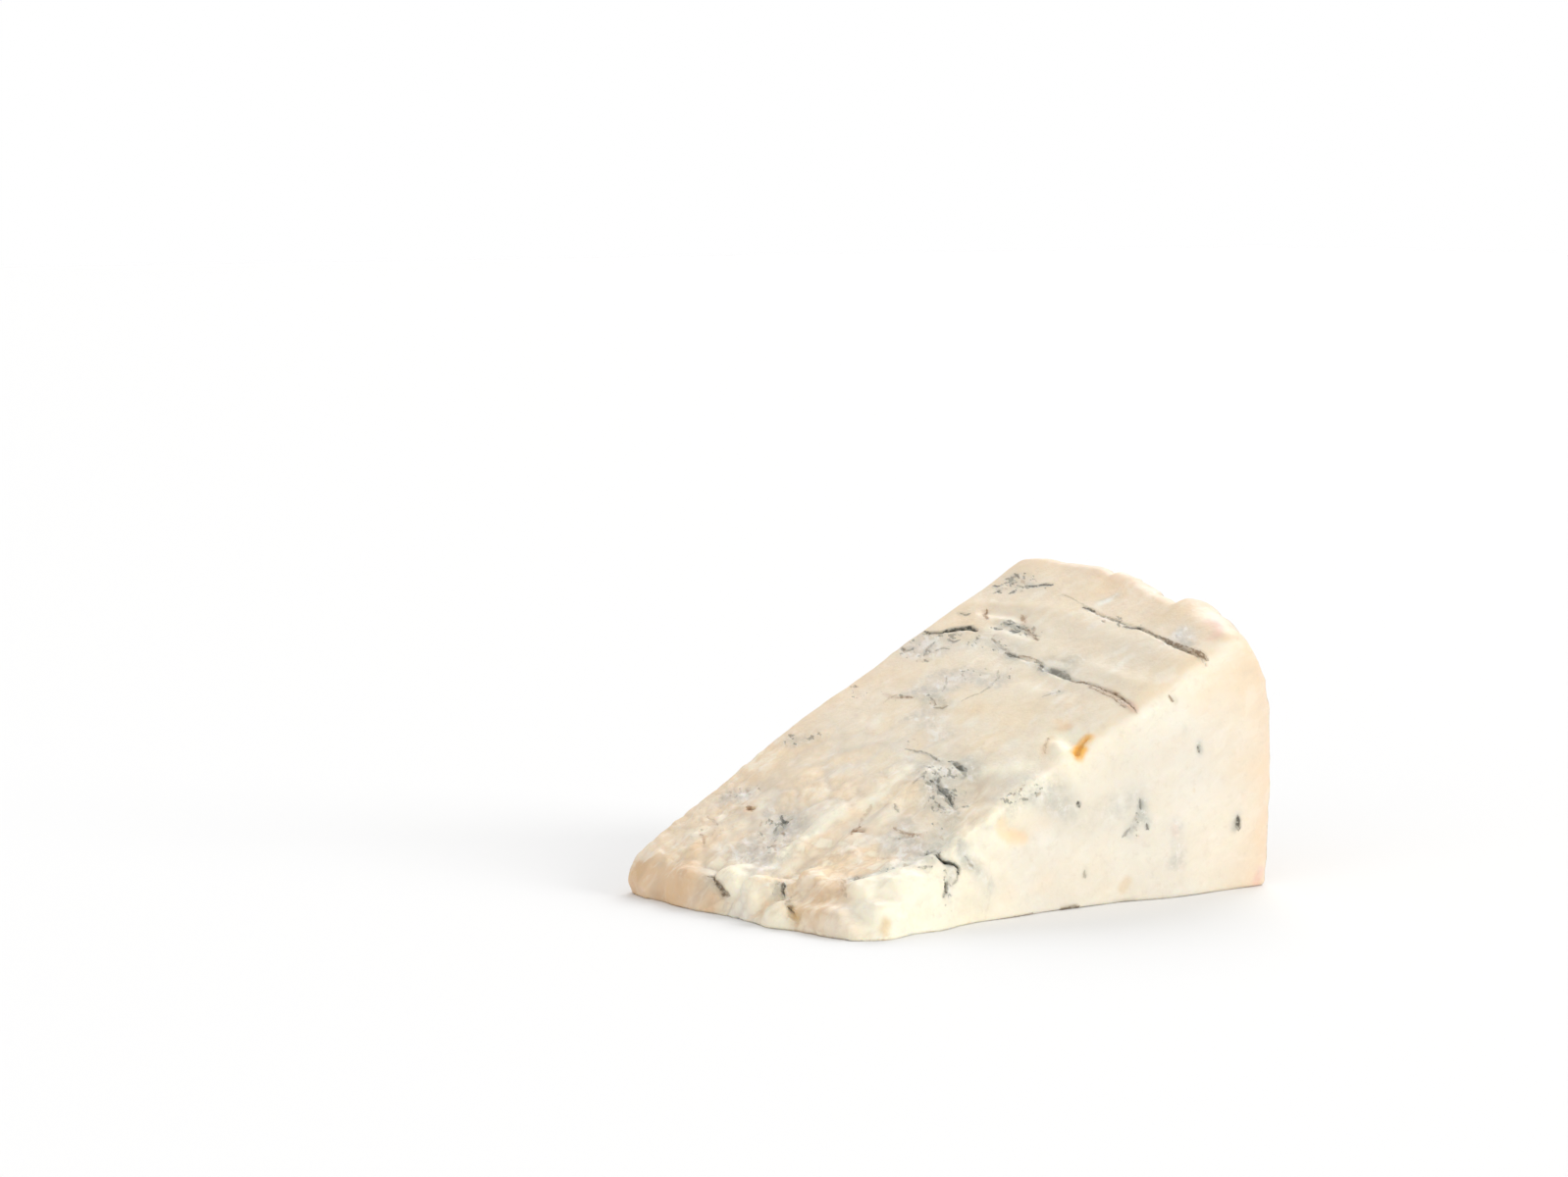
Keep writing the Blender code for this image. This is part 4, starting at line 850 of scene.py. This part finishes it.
# ---- the piece -------------------------------------------------------------------------------------------
def build():
    points, quads = surface()
    mesh = make_mesh("fine_surface", points, quads)
    # Two light passes take out the volume's steps, then fine relief is raised along the normals.
    for share in (0.5, -0.35):
        total = np.zeros_like(points)
        count = np.zeros(len(points))
        for c in range(4):
            for o in (1, 3):
                np.add.at(total, quads[:, c], points[quads[:, (c + o) % 4]])
            np.add.at(count, quads[:, c], 2)
        points = points + share * (total / count[:, None] - points)
    points[:, 2] = np.where(points[:, 2] < 0.12, 0.0, points[:, 2])
    mesh.vertices.foreach_set("co", np.ascontiguousarray(points, np.float32).ravel())
    mesh.update()
    p, n = read_mesh(mesh)
    slope, rind, front, flat, nose = walls(*p.T)
    up = ease((n[:, 2] - 0.35) / 0.35)
    crumbly = np.clip((66.0 - p[:, 0]) / 50.0, 0, 1)
    skin = np.maximum(np.exp(-((np.clip(-rind, 0, None) / 1.5) ** 2)) * ease((n[:, 0] - 0.25) / 0.35),
                      np.exp(-((np.clip(-flat, 0, None) / 1.5) ** 2)) * ease((n[:, 1] - 0.25) / 0.35))
    rise = (0.05 + 0.13 * crumbly) * Field(1.5, 71)(p)
    rise += up * (0.04 + 0.14 * crumbly) * Field((6.0, 1.2, 1.2), 72)(p)
    # Towards the nose the paste is a crumb of small lumps, except where the nose was cut smooth.
    soft = np.flatnonzero((p[:, 0] < 58.0) & (p[:, 2] > 0.1))
    middle, edge, crumbs = small_crumbs(p[soft])[:3]
    smooth = ease((7.0 - p[soft, 0]) / 5.0) * ease((p[soft, 1] - 50.0) / 10.0)
    broken = (1 - smooth) * crumbs * ease(1.4 * Field(9.0, 24)(p[soft]) + 0.30)
    rise[soft] += broken * (0.26 * (0.5 - middle) - 0.15 * np.exp(-((edge / 0.12) ** 2)))
    rise += skin * (0.30 * Field(3.4, 73)(p) + 0.16 * Field(1.4, 74)(p) + 0.4 * Field(9.0, 75)(p))
    p = p + n * (rise * ease(p[:, 2] / 1.5))[:, None]
    mesh.vertices.foreach_set("co", np.ascontiguousarray(p, np.float32).ravel())
    mesh.update()

    # Collapse to the triangle budget, hardest on the even underside.
    rough = bpy.data.objects.new("fine_surface", mesh)
    bpy.context.scene.collection.objects.link(rough)
    group = rough.vertex_groups.new(name="keep")
    plain = np.where(skin > 0.5, 1.0, 0.8)
    for _, _, widths, places in VEINS:
        low, high = np.min(places, 0) - 3.0, np.max(places, 0) + 3.0
        near = np.flatnonzero(((p > low) & (p < high)).all(1))
        r, _ = line_distance(p[near], places, None, facing(places), 0.9)
        plain[near[r < 1.5]] = 0.2
    plain[p[:, 2] < 0.05] = 0.02
    levels = np.round(plain * 10).astype(int)
    for level in np.unique(levels):
        group.add(np.flatnonzero(levels == level).tolist(), max(level, 0.2) / 10.0, "REPLACE")
    thin = rough.modifiers.new("thin", "DECIMATE")
    thin.ratio = MOST_TRIANGLES / (2.0 * len(quads))
    thin.vertex_group = "keep"
    thin.vertex_group_factor = 1.0
    shown = bpy.data.meshes.new_from_object(rough.evaluated_get(bpy.context.evaluated_depsgraph_get()))
    bpy.data.objects.remove(rough)
    bpy.data.meshes.remove(mesh)
    shown.name = "cheese"

    p, n = read_mesh(shown)
    colour, strengths = paint(p, n)
    tint = shown.color_attributes.new("tint", "FLOAT_COLOR", "POINT")
    tint.data.foreach_set("color", np.column_stack([colour, np.ones(len(p))]).astype(np.float32).ravel())
    for name, values in strengths.items():
        layer = shown.attributes.new(name, "FLOAT", "POINT")
        layer.data.foreach_set("value", values.astype(np.float32))
    shown.vertices.foreach_set("co", ((p - CENTRE) * 0.001).astype(np.float32).ravel())
    shown.update()
    shown.shade_smooth()
    piece = bpy.data.objects.new("cheese", shown)
    bpy.context.scene.collection.objects.link(piece)
    return piece


class Nodes:
    """Short calls for building a material."""

    def __init__(self, name):
        self.material = bpy.data.materials.new(name)
        self.material.use_nodes = True
        self.tree = self.material.node_tree
        self.shader = self.tree.nodes["Principled BSDF"]

    def add(self, kind, settings=None, **inputs):
        made = self.tree.nodes.new(kind)
        for key, value in (settings or {}).items():
            setattr(made, key, value)
        for key, value in inputs.items():
            self.put(made, key.replace("_", " ") if key in made.inputs or key.replace("_", " ") in made.inputs else key, value)
        return made

    def put(self, made, key, value):
        socket = made.inputs[int(key[1:])] if key[0] == "i" and key[1:].isdigit() else made.inputs[key]
        if isinstance(value, bpy.types.NodeSocket):
            self.tree.links.new(value, socket)
        else:
            socket.default_value = value

    def attribute(self, name):
        return self.add("ShaderNodeAttribute", {"attribute_name": name})

    def noise(self, at, scale, detail=2.0, roughness=0.5):
        return self.add("ShaderNodeTexNoise", Vector=at, Scale=scale, Detail=detail, Roughness=roughness).outputs["Fac"]

    def math(self, operation, a, b=0.0, c=0.0):
        return self.add("ShaderNodeMath", {"operation": operation}, i0=a, i1=b, i2=c).outputs[0]

    def span(self, value, low, high, to_low=0.0, to_high=1.0, smooth=True):
        made = self.add("ShaderNodeMapRange", {"interpolation_type": "SMOOTHSTEP" if smooth else "LINEAR"},
                        Value=value, From_Min=low, From_Max=high, To_Min=to_low, To_Max=to_high)
        return made.outputs[0]

    def mix(self, factor, a, b, blend="MIX"):
        made = self.tree.nodes.new("ShaderNodeMix")
        made.data_type, made.blend_type = "RGBA", blend
        for index, value in ((0, factor), (6, a), (7, b)):
            if isinstance(value, bpy.types.NodeSocket):
                self.tree.links.new(value, made.inputs[index])
            else:
                made.inputs[index].default_value = value
        return made.outputs[2]


def paste_material():
    m = Nodes("cheese_paste")
    at = m.add("ShaderNodeTexCoord").outputs["Object"]
    tint = m.attribute("tint").outputs["Color"]
    specks = m.attribute("specks").outputs["Fac"]
    drag = m.attribute("drag").outputs["Fac"]
    rind = m.attribute("rind").outputs["Fac"]
    haze = m.attribute("haze").outputs["Fac"]
    vein, width, dark, tone = (m.attribute(name).outputs["Fac"] for name in ("vein", "vein_width", "vein_dark", "vein_tone"))

    clouds = m.noise(at, 75.0, 3.0, 0.55)
    grain = m.noise(at, 620.0, 3.0, 0.6)
    pores = m.noise(at, 1500.0, 2.0, 0.5)
    # Smears and drag marks of the knife run up the slope: noise drawn out along it, and bent by a slower noise.
    bend = m.add("ShaderNodeTexNoise", Vector=at, Scale=120.0, Detail=2.0).outputs["Color"]
    bend = m.add("ShaderNodeVectorMath", {"operation": "MULTIPLY_ADD"}, i0=bend, i1=(0.007, 0.007, 0.007), i2=at).outputs[0]
    drawn = m.add("ShaderNodeMapping", {"vector_type": "TEXTURE"}, Vector=bend, Rotation=(0.0, math.radians(-28.0), 0.0), Scale=(4.5, 1.0, 1.0)).outputs[0]
    short = m.add("ShaderNodeMapping", {"vector_type": "TEXTURE"}, Vector=bend, Rotation=(0.0, math.radians(-28.0), 0.0), Scale=(1.8, 1.0, 1.0)).outputs[0]
    across = m.add("ShaderNodeMapping", {"vector_type": "TEXTURE"}, Vector=at, Rotation=(0.0, 0.0, math.radians(-29.0)), Scale=(1.0, 2.4, 1.0)).outputs[0]
    lines = m.noise(drawn, 560.0, 3.0, 0.6)
    smears = m.noise(short, 210.0, 4.0, 0.62)
    mottle = m.noise(across, 430.0, 4.0, 0.65)
    blots = m.noise(across, 640.0, 3.0, 0.55)

    colour = m.mix(m.span(clouds, 0.35, 0.68, 0.0, 0.16), tint, (0.93, 0.80, 0.62, 1.0))
    colour = m.mix(m.span(clouds, 0.62, 0.36, 0.0, 0.16), colour, (0.88, 0.87, 0.80, 1.0))
    # The colour follows the bump below: lighter on the raised smears and lines, darker in the sunk ones, a painted
    # highlight and painted shade over the knife's marks.
    colour = m.mix(m.math("MULTIPLY", m.span(smears, 0.52, 0.66, 0.0, 0.50), drag), colour, (0.93, 0.89, 0.79, 1.0))
    colour = m.mix(m.math("MULTIPLY", m.span(smears, 0.47, 0.33, 0.0, 0.36), drag), colour, (0.60, 0.50, 0.38, 1.0))
    colour = m.mix(m.math("MULTIPLY", m.span(lines, 0.54, 0.70, 0.0, 0.30), drag), colour, (0.93, 0.91, 0.84, 1.0))
    colour = m.mix(m.math("MULTIPLY", m.span(lines, 0.46, 0.30, 0.0, 0.24), drag), colour, (0.56, 0.46, 0.35, 1.0))
    colour = m.mix(m.span(mottle, 0.56, 0.70, 0.0, 0.20), colour, (0.62, 0.54, 0.42, 1.0))
    # Haze: paste greyed by mould in a fine mottle of grey and white.
    greyed = m.math("MULTIPLY", m.span(mottle, 0.46, 0.62), m.span(haze, 0.05, 0.60, 0.0, 0.30))
    colour = m.mix(greyed, colour, (0.40, 0.405, 0.37, 1.0))
    cleared = m.math("MULTIPLY", m.span(mottle, 0.47, 0.36), m.span(haze, 0.05, 0.55, 0.0, 0.50))
    colour = m.mix(cleared, colour, (0.86, 0.84, 0.80, 1.0))
    # Specks of mould: blots of noise that break through where the density is high.
    height = m.math("ADD", blots, m.math("MULTIPLY", specks, 0.13))
    through = m.math("MULTIPLY", m.span(height, 0.645, 0.75), m.span(specks, 0.12, 0.45))
    colour = m.mix(m.math("MULTIPLY", through, 0.56), colour, (0.120, 0.128, 0.105, 1.0))
    rust = m.math("MULTIPLY", m.span(m.noise(across, 480.0, 2.0, 0.5), 0.62, 0.70), m.span(specks, 0.2, 0.6, 0.0, 0.45))
    colour = m.mix(rust, colour, (0.40, 0.27, 0.17, 1.0))
    # Veins: dark within their half width of the line, with a ragged and broken edge.
    ragged = m.math("MULTIPLY_ADD", m.math("SUBTRACT", m.noise(at, 900.0, 3.0, 0.6), 0.5), 1.05, vein)
    ragged = m.math("ABSOLUTE", ragged)
    edge = m.span(ragged, m.math("MULTIPLY_ADD", width, 1.15, 0.03), m.math("MULTIPLY", width, 0.45))
    broken = m.span(m.noise(across, 900.0, 3.0, 0.6), 0.40, 0.54, 0.34, 1.0)
    present = m.span(width, 0.05, 0.22)
    line = m.math("MULTIPLY", m.math("MULTIPLY", m.math("MULTIPLY", edge, broken), m.math("MULTIPLY", dark, 0.88)), present)
    around = m.math("MULTIPLY", m.span(ragged, m.math("MULTIPLY_ADD", width, 2.8, 0.05), m.math("MULTIPLY", width, 0.8)), m.math("MULTIPLY", m.math("MULTIPLY", dark, present), 0.36))
    vein_colour = m.mix(tone, (0.040, 0.043, 0.032, 1.0), (0.30, 0.165, 0.07, 1.0))
    halo_colour = m.mix(tone, (0.34, 0.35, 0.31, 1.0), (0.62, 0.42, 0.26, 1.0))
    colour = m.mix(around, colour, halo_colour)
    colour = m.mix(line, colour, vein_colour)
    # The rind's grain.
    crust = m.noise(at, 420.0, 5.0, 0.68)
    colour = m.mix(m.math("MULTIPLY", m.span(crust, 0.50, 0.66, 0.0, 0.45), rind), colour, (0.44, 0.29, 0.18, 1.0))
    m.put(m.shader, "Base Color", colour)

    wet = m.span(clouds, 0.30, 0.70, 0.42, 0.62)
    rough = m.math("ADD", wet, m.math("MULTIPLY", rind, 0.26))
    rough = m.math("ADD", rough, m.math("MULTIPLY", through, 0.15))
    m.put(m.shader, "Roughness", rough)
    m.put(m.shader, "Specular IOR Level", 0.36)
    m.put(m.shader, "Subsurface Weight", 0.40)
    m.put(m.shader, "Subsurface Radius", (1.0, 0.62, 0.34))
    m.put(m.shader, "Subsurface Scale", 0.0014)

    height = m.math("MULTIPLY", grain, 0.30)
    height = m.math("ADD", height, m.math("MULTIPLY", pores, 0.12))
    height = m.math("ADD", height, m.math("MULTIPLY", m.math("MULTIPLY", lines, drag), 0.55))
    height = m.math("ADD", height, m.math("MULTIPLY", m.math("MULTIPLY", crust, rind), 1.2))
    height = m.math("ADD", height, m.math("MULTIPLY", m.math("MULTIPLY", smears, drag), 0.9))
    height = m.math("SUBTRACT", height, m.math("MULTIPLY", through, 0.35))
    height = m.math("SUBTRACT", height, m.math("MULTIPLY", line, 0.8))
    bump = m.add("ShaderNodeBump", Strength=0.55, Distance=0.0006, Height=height).outputs[0]
    m.put(m.shader, "Normal", bump)
    return m.material


piece = build()
piece.data.materials.append(paste_material())
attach(piece, "root")
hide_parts("cheese_wedge")

# ---- the stage -------------------------------------------------------------------------------------------
floor_mesh = bpy.data.meshes.new("floor")
floor_mesh.from_pydata([(-6, -6, 0), (6, -6, 0), (6, 6, 0), (-6, 6, 0)], [], [(0, 1, 2, 3)])
floor = bpy.data.objects.new("floor", floor_mesh)
bpy.context.scene.collection.objects.link(floor)
floor_material = bpy.data.materials.new("pale_floor")
floor_material.use_nodes = True
floor_shader = floor_material.node_tree.nodes["Principled BSDF"]
floor_shader.inputs["Base Color"].default_value = (0.850, 0.850, 0.850, 1.0)
floor_shader.inputs["Roughness"].default_value = 0.9
floor_shader.inputs["Specular IOR Level"].default_value = 0.1
floor_mesh.materials.append(floor_material)

world = bpy.data.worlds.new("studio")
bpy.context.scene.world = world
world.use_nodes = True
world.node_tree.nodes["Background"].inputs["Color"].default_value = (1.0, 1.0, 1.0, 1.0)
# The backdrop is pure white, and the light that it sheds is a little lower.
seen = world.node_tree.nodes.new("ShaderNodeLightPath")
level = world.node_tree.nodes.new("ShaderNodeMapRange")
level.inputs["To Min"].default_value, level.inputs["To Max"].default_value = SKY_LIGHT, 1.0
world.node_tree.links.new(seen.outputs["Is Camera Ray"], level.inputs["Value"])
world.node_tree.links.new(level.outputs[0], world.node_tree.nodes["Background"].inputs["Strength"])


def softbox(name, direction, spread, strength, colour=(1.0, 1.0, 1.0)):
    """A large soft light from far off, as the middle and the spread of the directions it comes from."""
    light = bpy.data.lights.new(name, "SUN")
    light.angle, light.energy, light.color = math.radians(spread), strength, colour
    made = bpy.data.objects.new(name, light)
    made.rotation_euler = Vector(direction).to_track_quat("Z", "Y").to_euler()
    made.location = Vector(direction) * 2.0
    bpy.context.scene.collection.objects.link(made)
    return made


softbox("key", (0.52, -0.78, 0.40), 30.0, KEY_LIGHT, (1.0, 0.99, 0.97))
softbox("back", (0.62, 0.46, 0.63), 36.0, BACK_LIGHT, (1.0, 1.0, 1.0))
softbox("fill", (-0.80, -0.45, 0.50), 60.0, FILL_LIGHT, (1.0, 1.0, 1.0))

# ---- the camera ------------------------------------------------------------------------------------------
azimuth, pitch = math.radians(-38.3113), math.radians(5.5464)
back = Vector((math.sin(azimuth) * math.cos(pitch), -math.cos(azimuth) * math.cos(pitch), math.sin(pitch)))
right = Vector((math.cos(azimuth), math.sin(azimuth), 0.0))
upward = back.cross(right)
lens = bpy.data.cameras.new("camera")
lens.lens, lens.sensor_width, lens.sensor_fit = 100.0, 36.0, "HORIZONTAL"
lens.clip_start, lens.clip_end = 0.01, 50.0
camera = bpy.data.objects.new("camera", lens)
aimed = Vector((0.50065, 0.65963, 0.0)) - Vector((CENTRE[0], CENTRE[1], 0.0)) * 0.001
place = Matrix((right, upward, back)).transposed().to_4x4()
place.translation = aimed + back * 1.80263
camera.matrix_world = place
bpy.context.scene.collection.objects.link(camera)
bpy.context.scene.camera = camera
bpy.context.scene.view_settings.view_transform = "Standard"
